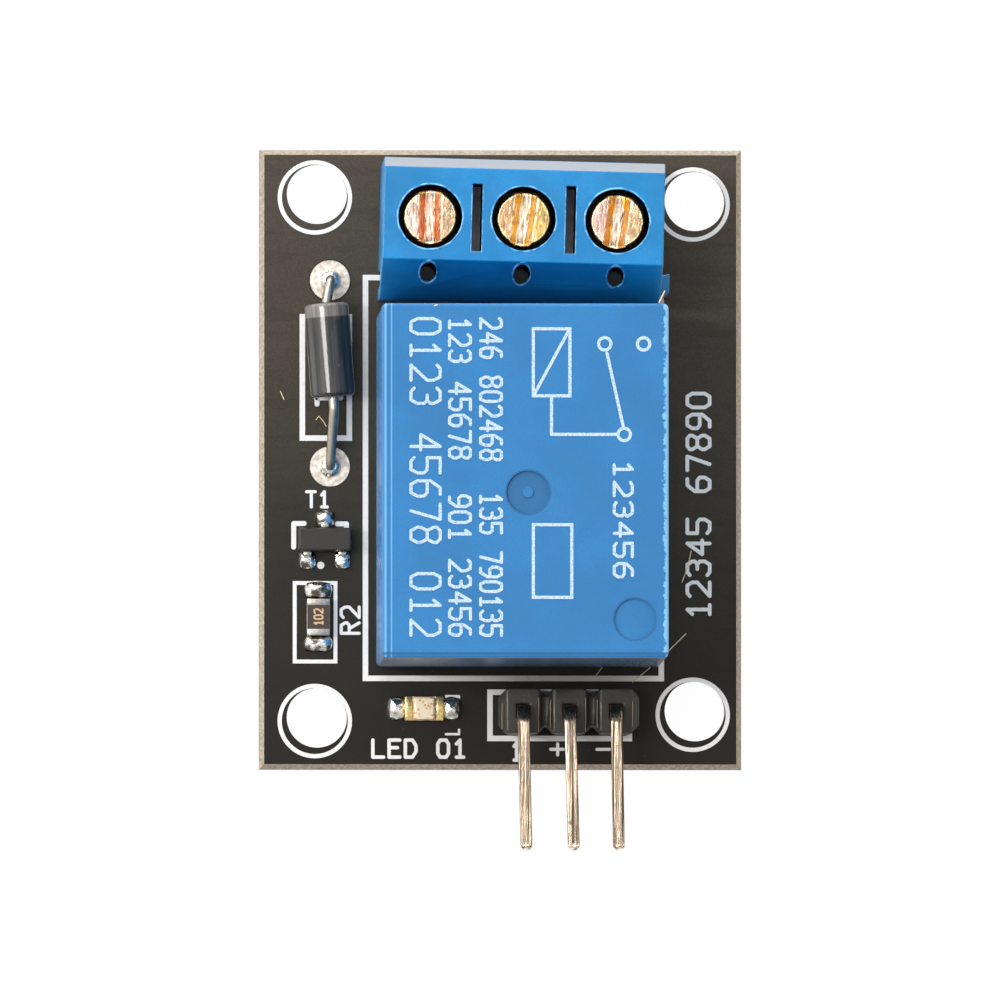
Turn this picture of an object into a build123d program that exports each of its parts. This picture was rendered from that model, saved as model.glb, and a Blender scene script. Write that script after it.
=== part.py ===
from build123d import *

import os
from math import atan2, cos, degrees, hypot, radians, sin

# A one-channel relay module: a small circuit board with a sealed relay, a three-pole screw
# terminal, a three-pin header bent over the board's edge, a flyback diode, a transistor, a
# chip resistor and a chip lamp.
# Sizes are in millimetres. The origin is the centre of the four mounting holes on the board's
# underside. +Z points to the component side and +Y toward the screw terminal.
# Every height of a component is measured from the board's upper face.
# The relay has its own place on the board. The terminal, header and lamp stand off its ends.

os.makedirs("parts", exist_ok=True)

# Circuit board
board_width = 26.3
board_length = 33.8
board_thickness = 1.6
board_x = -0.31
board_y = -0.21
score_width = 0.28
score_depth = 0.5
mount_spacing_x = 20.6
mount_spacing_y = 28.2
mount_stagger = 0.18
mount_hole_radius = 1.65

# Solder
solder_gap = 0.02
pad_coat = 0.04
tail_reach = 1.9
trimmed_reach = 1.4
cone_height = 1.1
cone_tip_margin = 0.12
cap_height = 0.35
mound_taper = 38
small_round_sides = 12

# Screw terminal, measured from its row of screws
terminal_x = 0.72
terminal_relay_gap = 0.57
terminal_turn = -1.4
pole_count = 3
pole_pitch = 5.08
terminal_height = 10.0
terminal_front = 3.2
front_chamfer_width = 0.53
front_chamfer_height = 0.6
terminal_top_back = 2.35
terminal_back = 4.25
slope_foot_height = 5.0
front_wall = 1.0
pole_wall = 1.18
screw_well_depth = 3.8
window_lip = 0.15
window_corner = 0.7
window_flare = 0.25
test_hole_radius = 0.47
test_hole_offset = 0.6
pole_slot_width = 0.55
pole_slot_length = 3.65
pole_slot_depth = 3.1
rail_offset = 3.1
rail_root = 0.8
rail_face = 1.1
rail_reach = 0.5
rail_clearance = 0.05

# Terminal's contact frames, wire guards and screws
frame_foot = 0.4
frame_depth = 4.3
frame_side = 0.6
frame_floor = 0.65
frame_roof = 1.2
frame_bend_radius = 0.45
frame_clearance = 0.05
terminal_pin_width = 0.8
terminal_drill_gap = 0.18
terminal_pad_radius = 1.15
pin_chamfer = 0.15
guard_thickness = 0.4
guard_clearance = 0.1
guard_tooth_pitch = 0.9
guard_tooth_count = 3
guard_tooth_depth = 0.1
shank_radius = 1.25
thread_clearance = 0.05
head_radius = 1.475
head_height = 1.25
head_recess = 0.4
head_clearance = 0.265
head_chamfer = 0.1
slot_top_width = 1.19
slot_floor_width = 0.58
slot_depth = 0.8
slot_headings = (89, 82, 82)

# Relay cover and base
relay_x = 0.66
relay_y = -1.96
relay_width = 15.5
relay_length = 19.2
relay_height = 15.3
case_lift = 0.3
case_wall = 0.75
case_roof = 0.8
case_corner_radius = 0.3
case_edge_radius = 0.2
gate_x = 0.15
gate_y = -0.63
gate_radius = 1.2
gate_depth = 0.15
gate_nib_radius = 0.28
mark_x = 5.92
mark_y = -7.48
mark_radius = 1.15
mark_depth = 0.1
seal_gap = 0.05
base_thickness = 1.6
foot_width = 1.2
foot_inset_x = 1.75
foot_inset_y = 1.7

# Relay pins, each inset measured from the cover's outer side
relay_pin_inset = 1.75
common_pin_inset = 1.4
coil_pin_inset = 3.35
contact_pin_inset = 3.6
blade_thickness = 0.5
blade_pin_width = 1.0
coil_pin_width = 0.6
pin_slot_clearance = 0.1
relay_drill_gap = 0.1
relay_pad_radius = 1.15

# Relay motor
yoke_thickness = 1.2
yoke_width = 9.0
yoke_toe = 1.2
yoke_bend_radius = 0.8
coil_gap = 0.05
coil_front_room = 1.2
flange_overhang = 0.4
lower_flange = 0.8
upper_flange = 0.7
hub_wall = 0.65
bobbin_ear_margin = 0.7
bobbin_ear_depth = 2.4
core_share = 0.36
spigot_shoulder = 0.4
core_clearance = 0.05
pole_lip = 1.3
pole_thickness = 0.6

# Relay armature and contacts
open_angle = 3.5
closed_angle = 0.2
hinge_gap = 0.03
armature_thickness = 1.2
armature_width = 8.4
armature_overhang = 1.1
armature_corner = 0.8
spring_thickness = 0.2
spring_width = 6.0
spring_tip_width = 2.6
spring_tip_overhang = 1.05
spring_tail_gap = 0.15
spring_tail_clearance = 0.9
rivet_radius = 0.45
rivet_hole_gap = 0.05
contact_radius = 0.9
contact_thickness = 0.35
contact_gap = 0.05
contact_offset = 0.3
contact_arm_width = 2.4
contact_arm_thickness = 0.4
roof_room = 0.6
common_blade_width = 3.0
common_blade_height = 2.7

# Header strip
header_x = 3.39
header_relay_gap = 1.17
header_count = 3
header_pitch = 2.54
header_depth = 2.5
header_height = 2.5
header_corner = 0.45
header_groove_top = 0.74
header_groove_floor = 0.4
header_groove_depth = 0.4
header_pin_width = 0.64
header_pin_clearance = 0.03
header_pin_rise = 0.1
header_bend_radius = 0.75
header_pin_run = 7.64
header_pin_leans = (1.4, 1.7, 1.0)
header_tip_chamfer = 0.18
header_drill_gap = 0.05
header_pad_radius = 0.85

# Diode
diode_pad_x = -9.60
diode_pad_y = 4.475
diode_pad_pitch = 10.16
diode_x = -9.63
diode_y = 5.69
diode_turn = 4.2
diode_radius = 1.215
diode_length = 5.1
diode_lift = 0.1
diode_edge_chamfer = 0.15
diode_lead_radius = 0.275
diode_lead_gap = 0.04
diode_drill_gap = 0.175
diode_pad_radius = 1.1
short_bend_radius = 0.5
anode_run = 0.6
anode_drop = 0.75
anode_bend_radius = 0.8

# Transistor
transistor_x = -9.88
transistor_y = -4.60
transistor_length = 2.9
transistor_width = 1.3
transistor_lift = 0.1
transistor_height = 1.0
transistor_draft = 9
lead_pitch = 1.9
lead_width = 0.42
lead_thickness = 0.13
lead_reach = 1.28
lead_foot = 0.36
lead_shoulder = 0.16
transistor_pad_width = 1.06
transistor_pad_reach = 1.64
transistor_mound_height = 0.2

# Chip resistor
resistor_x = -10.23
resistor_y = -8.83
resistor_length = 2.0
resistor_width = 1.25
resistor_height = 0.5
resistor_cap_length = 0.36
resistor_cap_thickness = 0.04
resistor_pad_width = 1.74
resistor_pad_reach = 0.74
resistor_mound_height = 0.36

# Chip lamp
lamp_x = -4.47
lamp_relay_gap = 1.59
lamp_length = 2.1
lamp_width = 1.3
lamp_carrier_height = 0.35
lamp_terminal_length = 0.42
lamp_terminal_thickness = 0.04
lamp_lens_length = 1.2
lamp_lens_height = 0.5
lamp_lens_draft = 7
lamp_pad_width = 1.32
lamp_pad_reach = 0.95
lamp_mound_height = 0.28

standing = (Align.CENTER, Align.CENTER, Align.MIN)
hanging = (Align.CENTER, Align.CENTER, Align.MAX)


def standing_plane(x, y, turn=0.0):
    """Plane on the board's upper face, with its X axis turned by that many degrees."""
    return Plane(
        origin=(x, y, board_thickness),
        x_dir=(cos(radians(turn)), sin(radians(turn)), 0),
        z_dir=(0, 0, 1),
    )


def side_plane(plane, at=0.0):
    """Plane of another's Y and Z axes, standing at that X. It extrudes toward +X."""
    return Plane(plane.from_local_coords((at, 0, 0)), x_dir=plane.y_dir, z_dir=plane.x_dir)


def front_plane(plane, at=0.0):
    """Plane of another's X and Z axes, standing at that Y. It extrudes toward -Y."""
    return Plane(plane.from_local_coords((0, at, 0)), x_dir=plane.x_dir, z_dir=-plane.y_dir)


def write_piece(name, piece):
    """Label a finished piece and write it to its own file."""
    piece.part.label = name
    export_step(piece.part, f"parts/{name}.step")


terminal_y = relay_y + relay_length / 2 + terminal_relay_gap + terminal_back
header_y = relay_y - relay_length / 2 - header_relay_gap - header_depth / 2
lamp_y = relay_y - relay_length / 2 - lamp_relay_gap - lamp_width / 2
terminal_plane = standing_plane(terminal_x, terminal_y, terminal_turn)
relay_plane = standing_plane(relay_x, relay_y)
header_plane = standing_plane(header_x, header_y)
transistor_plane = standing_plane(transistor_x, transistor_y)
resistor_plane = standing_plane(resistor_x, resistor_y)
lamp_plane = standing_plane(lamp_x, lamp_y)

# Levels and places inside the terminal
terminal_width = pole_count * pole_pitch
pole_offsets = [(i - (pole_count - 1) / 2) * pole_pitch for i in range(pole_count)]
cavity_width = pole_pitch - pole_wall
cavity_depth = frame_depth + 2 * frame_clearance
cavity_front = terminal_front - front_wall
cavity_y = cavity_front - cavity_depth / 2
cavity_top = terminal_height - screw_well_depth
frame_width = cavity_width - 2 * frame_clearance
frame_inner_width = frame_width - 2 * frame_side
frame_floor_top = frame_foot + frame_floor
frame_roof_bottom = cavity_top - frame_roof
guard_top = frame_roof_bottom - guard_clearance
guard_bottom = guard_top - guard_thickness
guard_width = frame_inner_width - 2 * guard_clearance
guard_length = frame_depth - 2 * guard_clearance
head_top = terminal_height - head_recess
head_bottom = head_top - head_height
window_width = cavity_width - 2 * window_lip
window_bottom = frame_floor_top + window_lip
window_height = guard_bottom - window_bottom
terminal_drill_radius = hypot(terminal_pin_width, terminal_pin_width) / 2 + terminal_drill_gap

# Places and levels inside the relay
base_bottom = case_lift
base_top = base_bottom + base_thickness
roof_bottom = relay_height - case_roof
relay_pin_x = relay_width / 2 - relay_pin_inset
common_pin_y = -(relay_length / 2 - common_pin_inset)
coil_pin_y = -(relay_length / 2 - coil_pin_inset)
contact_pin_y = relay_length / 2 - contact_pin_inset
contact_y = contact_pin_y + contact_offset
arm_back_y = contact_y - contact_arm_width / 2
yoke_back_y = common_pin_y + blade_thickness / 2
yoke_front_y = yoke_back_y + yoke_thickness
flange_radius = (arm_back_y - coil_front_room - yoke_front_y - coil_gap) / 2
coil_y = yoke_front_y + coil_gap + flange_radius
winding_radius = flange_radius - flange_overhang
core_radius = core_share * flange_radius
spigot_radius = core_radius - spigot_shoulder
pole_radius = core_radius + pole_lip
core_bore_radius = core_radius + core_clearance
hub_radius = core_bore_radius + hub_wall
contact_reach = contact_y - yoke_back_y
moving_top = hinge_gap + armature_thickness + spring_thickness + contact_thickness
moving_bottom = hinge_gap + armature_thickness - contact_thickness
nc_arm_top = roof_bottom - roof_room
nc_contact_bottom = nc_arm_top - contact_arm_thickness - contact_thickness
open_rise = (
    (contact_reach + contact_radius) * sin(radians(open_angle))
    + moving_top * cos(radians(open_angle))
)
pole_top = nc_contact_bottom - contact_gap - open_rise
no_contact_top = (
    pole_top
    + (contact_reach - contact_radius) * sin(radians(closed_angle))
    + moving_bottom * cos(radians(closed_angle))
    - contact_gap
)
no_arm_top = no_contact_top - contact_thickness
lower_flange_bottom = base_top + yoke_thickness
winding_bottom = lower_flange_bottom + lower_flange
pole_bottom = pole_top - pole_thickness
winding_top = pole_bottom - upper_flange
blade_half_diagonal = hypot(blade_pin_width, blade_thickness) / 2
relay_drill_radius = blade_half_diagonal + relay_drill_gap
relay_blade_pins = [
    (0, common_pin_y, blade_pin_width, blade_thickness),
    (relay_pin_x, contact_pin_y, blade_thickness, blade_pin_width),
    (-relay_pin_x, contact_pin_y, blade_thickness, blade_pin_width),
]
relay_coil_pin_points = [(side * relay_pin_x, coil_pin_y) for side in (-1, 1)]
relay_pins = relay_blade_pins + [
    (x, y, coil_pin_width, coil_pin_width) for x, y in relay_coil_pin_points
]

# Places of the other joints
header_offsets = [(i - (header_count - 1) / 2) * header_pitch for i in range(header_count)]
header_drill_radius = hypot(header_pin_width, header_pin_width) / 2 + header_drill_gap
diode_drill_radius = diode_lead_radius + diode_drill_gap
cathode_pad = (diode_pad_x, diode_pad_y + diode_pad_pitch / 2)
anode_pad = (diode_pad_x, diode_pad_y - diode_pad_pitch / 2)
mount_points = [
    (side * mount_spacing_x / 2, end * (mount_spacing_y / 2 - side * mount_stagger))
    for side in (-1, 1)
    for end in (-1, 1)
]

# Circuit board, with its snapped score lines along all four sides
with BuildPart() as circuit_board:
    with BuildSketch():
        with Locations((board_x, board_y)):
            Rectangle(board_width, board_length)
    extrude(amount=board_thickness)
    for face in (faces().sort_by(Axis.Z)[-1], faces().sort_by(Axis.Z)[0]):
        chamfer(face.edges(), length=score_width, length2=score_depth, reference=face)
    with Locations(*mount_points):
        Hole(mount_hole_radius)
    with Locations(cathode_pad, anode_pad):
        Hole(diode_drill_radius)
    # Pin holes that solder closes have a few flat sides
    for drill_radius, points in (
        (terminal_drill_radius, [(terminal_x + offset, terminal_y) for offset in pole_offsets]),
        (relay_drill_radius, [(relay_x + x, relay_y + y) for x, y, _, _ in relay_pins]),
        (header_drill_radius, [(header_x + offset, header_y) for offset in header_offsets]),
    ):
        with BuildSketch():
            with Locations(*points):
                RegularPolygon(drill_radius, small_round_sides)
        extrude(amount=board_thickness, mode=Mode.SUBTRACT)
write_piece("circuit_board", circuit_board)


def rail_outline(clearance=0.0):
    """Dovetail of the ganging rail, from the block's end outward, seen from above."""
    Polygon(
        (0, rail_root / 2 + clearance),
        (rail_reach + clearance, rail_face / 2 + clearance),
        (rail_reach + clearance, -rail_face / 2 - clearance),
        (0, -rail_root / 2 - clearance),
        align=None,
    )


def window_outline(margin=0.0):
    """Wire window with cut corners, seen from the front."""
    half_width = window_width / 2 + margin
    half_height = window_height / 2 + margin
    Polygon(
        (half_width - window_corner, half_height),
        (window_corner - half_width, half_height),
        (-half_width, half_height - window_corner),
        (-half_width, window_corner - half_height),
        (window_corner - half_width, -half_height),
        (half_width - window_corner, -half_height),
        (half_width, window_corner - half_height),
        (half_width, half_height - window_corner),
        align=None,
    )


# Terminal housing: cavities open from below, screw wells, wire windows, rail and groove
with BuildPart(terminal_plane) as terminal_housing:
    with BuildSketch(side_plane(terminal_plane, -terminal_width / 2)):
        with BuildLine():
            Polyline(
                (terminal_front, 0),
                (terminal_front, terminal_height - front_chamfer_height),
                (terminal_front - front_chamfer_width, terminal_height),
                (-terminal_top_back, terminal_height),
                (-terminal_back, slope_foot_height),
                (-terminal_back, 0),
                close=True,
            )
        make_face()
    extrude(amount=terminal_width)
    for offset in pole_offsets:
        with Locations((offset, cavity_y, 0)):
            Box(cavity_width, cavity_depth, cavity_top, align=standing, mode=Mode.SUBTRACT)
        with Locations((offset, 0, cavity_top)):
            Cylinder(
                head_radius + head_clearance,
                screw_well_depth,
                align=standing,
                mode=Mode.SUBTRACT,
            )
        with BuildSketch(front_plane(terminal_plane, terminal_front)):
            with Locations((offset, window_bottom + window_height / 2)):
                window_outline()
        extrude(amount=front_wall, mode=Mode.SUBTRACT)
        with BuildSketch(front_plane(terminal_plane, terminal_front)):
            with Locations((offset, window_bottom + window_height / 2)):
                window_outline(window_flare)
        extrude(amount=window_flare, taper=45, mode=Mode.SUBTRACT)
        with Locations((offset, -terminal_top_back - test_hole_offset, slope_foot_height)):
            Cylinder(
                test_hole_radius,
                screw_well_depth + slope_foot_height,
                align=standing,
                mode=Mode.SUBTRACT,
            )
    for left, right in zip(pole_offsets, pole_offsets[1:]):
        with Locations(((left + right) / 2, 0, terminal_height)):
            Box(
                pole_slot_width,
                pole_slot_length,
                pole_slot_depth,
                align=hanging,
                mode=Mode.SUBTRACT,
            )
    with BuildSketch(terminal_plane):
        with Locations((terminal_width / 2, -rail_offset)):
            rail_outline()
    extrude(amount=slope_foot_height)
    with BuildSketch(terminal_plane):
        with Locations((-terminal_width / 2, -rail_offset)):
            rail_outline(rail_clearance)
    extrude(amount=slope_foot_height + rail_clearance, mode=Mode.SUBTRACT)
write_piece("terminal_housing", terminal_housing)


def make_terminal_contact(offset):
    """Sheet frame round the wire's way, threaded in its roof, with its solder pin."""
    with BuildPart(terminal_plane) as contact:
        with BuildSketch(front_plane(terminal_plane, cavity_y + frame_depth / 2)):
            with Locations((offset, (frame_foot + cavity_top) / 2)):
                RectangleRounded(frame_width, cavity_top - frame_foot, frame_bend_radius)
            with Locations((offset, (frame_floor_top + frame_roof_bottom) / 2)):
                Rectangle(
                    frame_inner_width,
                    frame_roof_bottom - frame_floor_top,
                    mode=Mode.SUBTRACT,
                )
        extrude(amount=frame_depth)
        with Locations((offset, 0, cavity_top)):
            Cylinder(
                shank_radius + thread_clearance,
                frame_roof,
                align=hanging,
                mode=Mode.SUBTRACT,
            )
        with Locations((offset, 0, frame_foot)):
            Box(
                terminal_pin_width,
                terminal_pin_width,
                frame_foot + board_thickness + tail_reach,
                align=hanging,
            )
        chamfer(edges().group_by(Axis.Z)[0], length=pin_chamfer)
    return contact


def make_wire_guard(offset):
    """Plate that the screw's tip presses on the wire, toothed on its underside."""
    with BuildPart(terminal_plane) as guard:
        with Locations((offset, cavity_y, guard_bottom)):
            Box(guard_width, guard_length, guard_thickness, align=standing)
        with BuildSketch(side_plane(terminal_plane, offset - guard_width / 2)):
            for tooth in range(guard_tooth_count):
                tooth_y = cavity_y + (tooth - (guard_tooth_count - 1) / 2) * guard_tooth_pitch
                with Locations((tooth_y, guard_bottom)):
                    Polygon(
                        (-guard_tooth_depth, 0),
                        (guard_tooth_depth, 0),
                        (0, guard_tooth_depth),
                        align=None,
                    )
        extrude(amount=guard_width, mode=Mode.SUBTRACT)
    return guard


def make_terminal_screw(offset, heading):
    """Clamp screw with a tapered driver slot. The heading is the slot's own direction."""
    middle = terminal_plane.from_local_coords((offset, 0, head_top))
    along_slot = Vector(cos(radians(heading)), sin(radians(heading)), 0)
    across_slot = Vector(-sin(radians(heading)), cos(radians(heading)), 0)
    with BuildPart(terminal_plane) as screw:
        with Locations((offset, 0, guard_top)):
            Cylinder(shank_radius, head_bottom - guard_top, align=standing)
        with Locations((offset, 0, head_bottom)):
            Cylinder(head_radius, head_height, align=standing)
        chamfer(edges().group_by(Axis.Z)[-1], length=head_chamfer)
        with BuildSketch(Plane(middle, x_dir=across_slot, z_dir=along_slot)):
            Polygon(
                (-slot_top_width / 2, 0),
                (slot_top_width / 2, 0),
                (slot_floor_width / 2, -slot_depth),
                (-slot_floor_width / 2, -slot_depth),
                align=None,
            )
        extrude(amount=head_radius, both=True, mode=Mode.SUBTRACT)
    return screw


terminal_contacts = [make_terminal_contact(offset) for offset in pole_offsets]
wire_guards = [make_wire_guard(offset) for offset in pole_offsets]
terminal_screws = [
    make_terminal_screw(offset, heading) for offset, heading in zip(pole_offsets, slot_headings)
]
for number in range(pole_count):
    write_piece(f"terminal_contact_{number + 1}", terminal_contacts[number])
    write_piece(f"wire_guard_{number + 1}", wire_guards[number])
    write_piece(f"terminal_screw_{number + 1}", terminal_screws[number])

# Relay cover, open from below, with its gate mark and ejector mark
with BuildPart(relay_plane) as relay_case:
    with BuildSketch(relay_plane.offset(case_lift)):
        RectangleRounded(relay_width, relay_length, case_corner_radius)
    extrude(amount=relay_height - case_lift)
    fillet(faces().sort_by(Axis.Z)[-1].edges(), radius=case_edge_radius)
    with Locations((0, 0, case_lift)):
        Box(
            relay_width - 2 * case_wall,
            relay_length - 2 * case_wall,
            roof_bottom - case_lift,
            align=standing,
            mode=Mode.SUBTRACT,
        )
    with Locations((gate_x, gate_y, relay_height)):
        Cylinder(gate_radius, gate_depth, align=hanging, mode=Mode.SUBTRACT)
    with Locations((gate_x, gate_y, relay_height - gate_depth)):
        Cylinder(gate_nib_radius, gate_depth / 2, align=standing)
    with Locations((mark_x, mark_y, relay_height)):
        Cylinder(mark_radius, mark_depth, align=hanging, mode=Mode.SUBTRACT)
write_piece("relay_case", relay_case)

# Relay base with four stand-off feet and a slot for each pin
with BuildPart(relay_plane) as relay_base:
    with Locations((0, 0, base_bottom)):
        Box(
            relay_width - 2 * (case_wall + seal_gap),
            relay_length - 2 * (case_wall + seal_gap),
            base_thickness,
            align=standing,
        )
    with GridLocations(relay_width - 2 * foot_inset_x, relay_length - 2 * foot_inset_y, 2, 2):
        Box(foot_width, foot_width, base_bottom, align=standing)
    for x, y, size_x, size_y in relay_pins:
        with Locations((x, y, base_bottom)):
            Box(
                size_x + 2 * pin_slot_clearance,
                size_y + 2 * pin_slot_clearance,
                base_thickness,
                align=standing,
                mode=Mode.SUBTRACT,
            )
write_piece("relay_base", relay_base)

# Yoke: a bent strip under the coil and up behind it
with BuildPart(relay_plane) as relay_yoke:
    with BuildSketch(side_plane(relay_plane, -yoke_width / 2)):
        with BuildLine():
            Polyline(
                (yoke_back_y, base_top),
                (coil_y + winding_radius - yoke_toe, base_top),
                (coil_y + winding_radius - yoke_toe, lower_flange_bottom),
                (yoke_front_y, lower_flange_bottom),
                (yoke_front_y, pole_top),
                (yoke_back_y, pole_top),
                close=True,
            )
        make_face()
        fillet(vertices().sort_by_distance((yoke_back_y, base_top))[0], yoke_bend_radius)
    extrude(amount=yoke_width)
    with Locations((0, coil_y, base_top)):
        Cylinder(
            spigot_radius + core_clearance,
            yoke_thickness,
            align=standing,
            mode=Mode.SUBTRACT,
        )
write_piece("relay_yoke", relay_yoke)

# Bobbin: hub, two flanges, and two ears that hold the coil pins
with BuildPart(relay_plane) as relay_bobbin:
    with BuildSketch(relay_plane.offset(lower_flange_bottom)):
        with Locations((0, coil_y)):
            Circle(flange_radius)
        with Locations((0, yoke_front_y + coil_gap + bobbin_ear_depth / 2)):
            Rectangle(2 * (relay_pin_x + bobbin_ear_margin), bobbin_ear_depth)
        with Locations(*relay_coil_pin_points):
            Rectangle(
                coil_pin_width + 2 * core_clearance,
                coil_pin_width + 2 * core_clearance,
                mode=Mode.SUBTRACT,
            )
    extrude(amount=lower_flange)
    with Locations((0, coil_y, winding_bottom)):
        Cylinder(hub_radius, winding_top - winding_bottom, align=standing)
    with Locations((0, coil_y, winding_top)):
        Cylinder(flange_radius, upper_flange, align=standing)
    with Locations((0, coil_y, lower_flange_bottom)):
        Cylinder(
            core_bore_radius,
            pole_bottom - lower_flange_bottom,
            align=standing,
            mode=Mode.SUBTRACT,
        )
write_piece("relay_bobbin", relay_bobbin)

# Winding
with BuildPart(relay_plane) as relay_coil:
    with Locations((0, coil_y, winding_bottom)):
        Cylinder(winding_radius, winding_top - winding_bottom, align=standing)
        Cylinder(
            hub_radius + solder_gap,
            winding_top - winding_bottom,
            align=standing,
            mode=Mode.SUBTRACT,
        )
write_piece("relay_coil", relay_coil)

# Core: spigot in the yoke, rod in the bobbin and pole disc on top
with BuildPart(relay_plane) as relay_core:
    with Locations((0, coil_y, base_top)):
        Cylinder(spigot_radius, yoke_thickness, align=standing)
    with Locations((0, coil_y, lower_flange_bottom)):
        Cylinder(core_radius, pole_bottom - lower_flange_bottom, align=standing)
    with Locations((0, coil_y, pole_bottom)):
        Cylinder(pole_radius, pole_thickness, align=standing)
write_piece("relay_core", relay_core)

# Armature's own frame: hinged on the yoke's upper back edge and held open
hinge_point = relay_plane.from_local_coords((0, yoke_back_y, pole_top))
armature_plane = Plane(
    hinge_point,
    x_dir=(1, 0, 0),
    z_dir=(0, -sin(radians(open_angle)), cos(radians(open_angle))),
)
armature_length = coil_y + pole_radius + armature_overhang - yoke_back_y
armature_top = hinge_gap + armature_thickness
spring_top = armature_top + spring_thickness

with BuildPart(armature_plane) as relay_armature:
    with BuildSketch(armature_plane.offset(hinge_gap)):
        with Locations((0, armature_length / 2)):
            Rectangle(armature_width, armature_length)
        chamfer(vertices().group_by(Axis.Y)[-1], length=armature_corner)
    extrude(amount=armature_thickness)
write_piece("relay_armature", relay_armature)


def spring_corner(level, y):
    """Point at that level of the armature's frame that stands over that Y of the relay."""
    run = (y - yoke_back_y + level * sin(radians(open_angle))) / cos(radians(open_angle))
    rise = run * sin(radians(open_angle)) + level * cos(radians(open_angle))
    return (y, pole_top + rise)


def spring_point(run, level):
    """Point of the armature's frame, as the relay's own Y and Z."""
    y = yoke_back_y + run * cos(radians(open_angle)) - level * sin(radians(open_angle))
    z = pole_top + run * sin(radians(open_angle)) + level * cos(radians(open_angle))
    return (y, z)


# Contact spring: riveted on the armature, its tail turned down behind the yoke
tail_y = yoke_back_y - spring_tail_gap
tail_foot = base_top + common_blade_height + spring_tail_clearance
spring_reach = contact_reach + spring_tip_overhang
with BuildPart(armature_plane) as relay_contact_spring:
    with BuildSketch(side_plane(relay_plane, -spring_width / 2)):
        with BuildLine():
            Polyline(
                (tail_y, tail_foot),
                spring_corner(armature_top, tail_y),
                spring_point(spring_reach, armature_top),
                spring_point(spring_reach, spring_top),
                spring_corner(spring_top, tail_y - spring_thickness),
                (tail_y - spring_thickness, tail_foot),
                close=True,
            )
        make_face()
    extrude(amount=spring_width)
    with BuildSketch(relay_plane.offset(tail_foot)):
        with BuildLine():
            Polyline(
                (-spring_width / 2, tail_y - spring_thickness),
                (spring_width / 2, tail_y - spring_thickness),
                (spring_width / 2, coil_y + pole_radius),
                (spring_tip_width / 2, arm_back_y),
                (spring_tip_width / 2, relay_length / 2),
                (-spring_tip_width / 2, relay_length / 2),
                (-spring_tip_width / 2, arm_back_y),
                (-spring_width / 2, coil_y + pole_radius),
                close=True,
            )
        make_face()
    extrude(amount=relay_height, mode=Mode.INTERSECT)
    with Locations((0, contact_reach, armature_top)):
        Cylinder(
            rivet_radius + rivet_hole_gap,
            spring_thickness,
            align=standing,
            mode=Mode.SUBTRACT,
        )
write_piece("relay_contact_spring", relay_contact_spring)

# Moving contact: a rivet with a face on each side of the spring
with BuildPart(armature_plane) as relay_moving_contact:
    with Locations((0, contact_reach, armature_top)):
        Cylinder(contact_radius, contact_thickness, align=hanging)
        Cylinder(rivet_radius, spring_thickness, align=standing)
    with Locations((0, contact_reach, spring_top)):
        Cylinder(contact_radius, contact_thickness, align=standing)
write_piece("relay_moving_contact", relay_moving_contact)


def make_contact_terminal(side, arm_top):
    """Blade that stands on the base at one side, its arm bent in over the contact's place."""
    outer = side * (relay_pin_x + blade_thickness / 2)
    inner = side * (relay_pin_x - blade_thickness / 2)
    arm_end = -side * contact_radius
    with BuildPart(relay_plane) as terminal:
        with BuildSketch(front_plane(relay_plane, contact_y + contact_arm_width / 2)):
            with BuildLine():
                Polyline(
                    (outer, base_top),
                    (outer, arm_top),
                    (arm_end, arm_top),
                    (arm_end, arm_top - contact_arm_thickness),
                    (inner, arm_top - contact_arm_thickness),
                    (inner, base_top),
                    close=True,
                )
            make_face()
        extrude(amount=contact_arm_width)
        with Locations((side * relay_pin_x, contact_pin_y, base_top)):
            Box(
                blade_thickness,
                blade_pin_width,
                base_top + board_thickness + tail_reach,
                align=hanging,
            )
    return terminal


def make_fixed_contact(bottom):
    """Contact disc of a fixed arm, over or under the moving one."""
    with BuildPart(relay_plane) as contact:
        with Locations((0, contact_y, bottom)):
            Cylinder(contact_radius, contact_thickness, align=standing)
    return contact


relay_no_terminal = make_contact_terminal(1, no_arm_top)
relay_nc_terminal = make_contact_terminal(-1, nc_arm_top)
write_piece("relay_no_terminal", relay_no_terminal)
write_piece("relay_nc_terminal", relay_nc_terminal)
write_piece("relay_no_contact", make_fixed_contact(no_arm_top))
write_piece("relay_nc_contact", make_fixed_contact(nc_contact_bottom))

# Common terminal: a blade against the yoke's back
with BuildPart(relay_plane) as relay_common_terminal:
    with Locations((0, common_pin_y, base_top)):
        Box(common_blade_width, blade_thickness, common_blade_height, align=standing)
        Box(
            blade_pin_width,
            blade_thickness,
            base_top + board_thickness + tail_reach,
            align=hanging,
        )
write_piece("relay_common_terminal", relay_common_terminal)


def make_coil_pin(x, y):
    """Coil pin, from the board up through the bobbin's ear."""
    with BuildPart(relay_plane) as pin:
        with Locations((x, y, -board_thickness - tail_reach)):
            Box(
                coil_pin_width,
                coil_pin_width,
                tail_reach + board_thickness + winding_bottom + lower_flange,
                align=standing,
            )
    return pin


relay_coil_pins = [make_coil_pin(x, y) for x, y in relay_coil_pin_points]
for number, pin in enumerate(relay_coil_pins):
    write_piece(f"relay_coil_pin_{number + 1}", pin)

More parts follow.
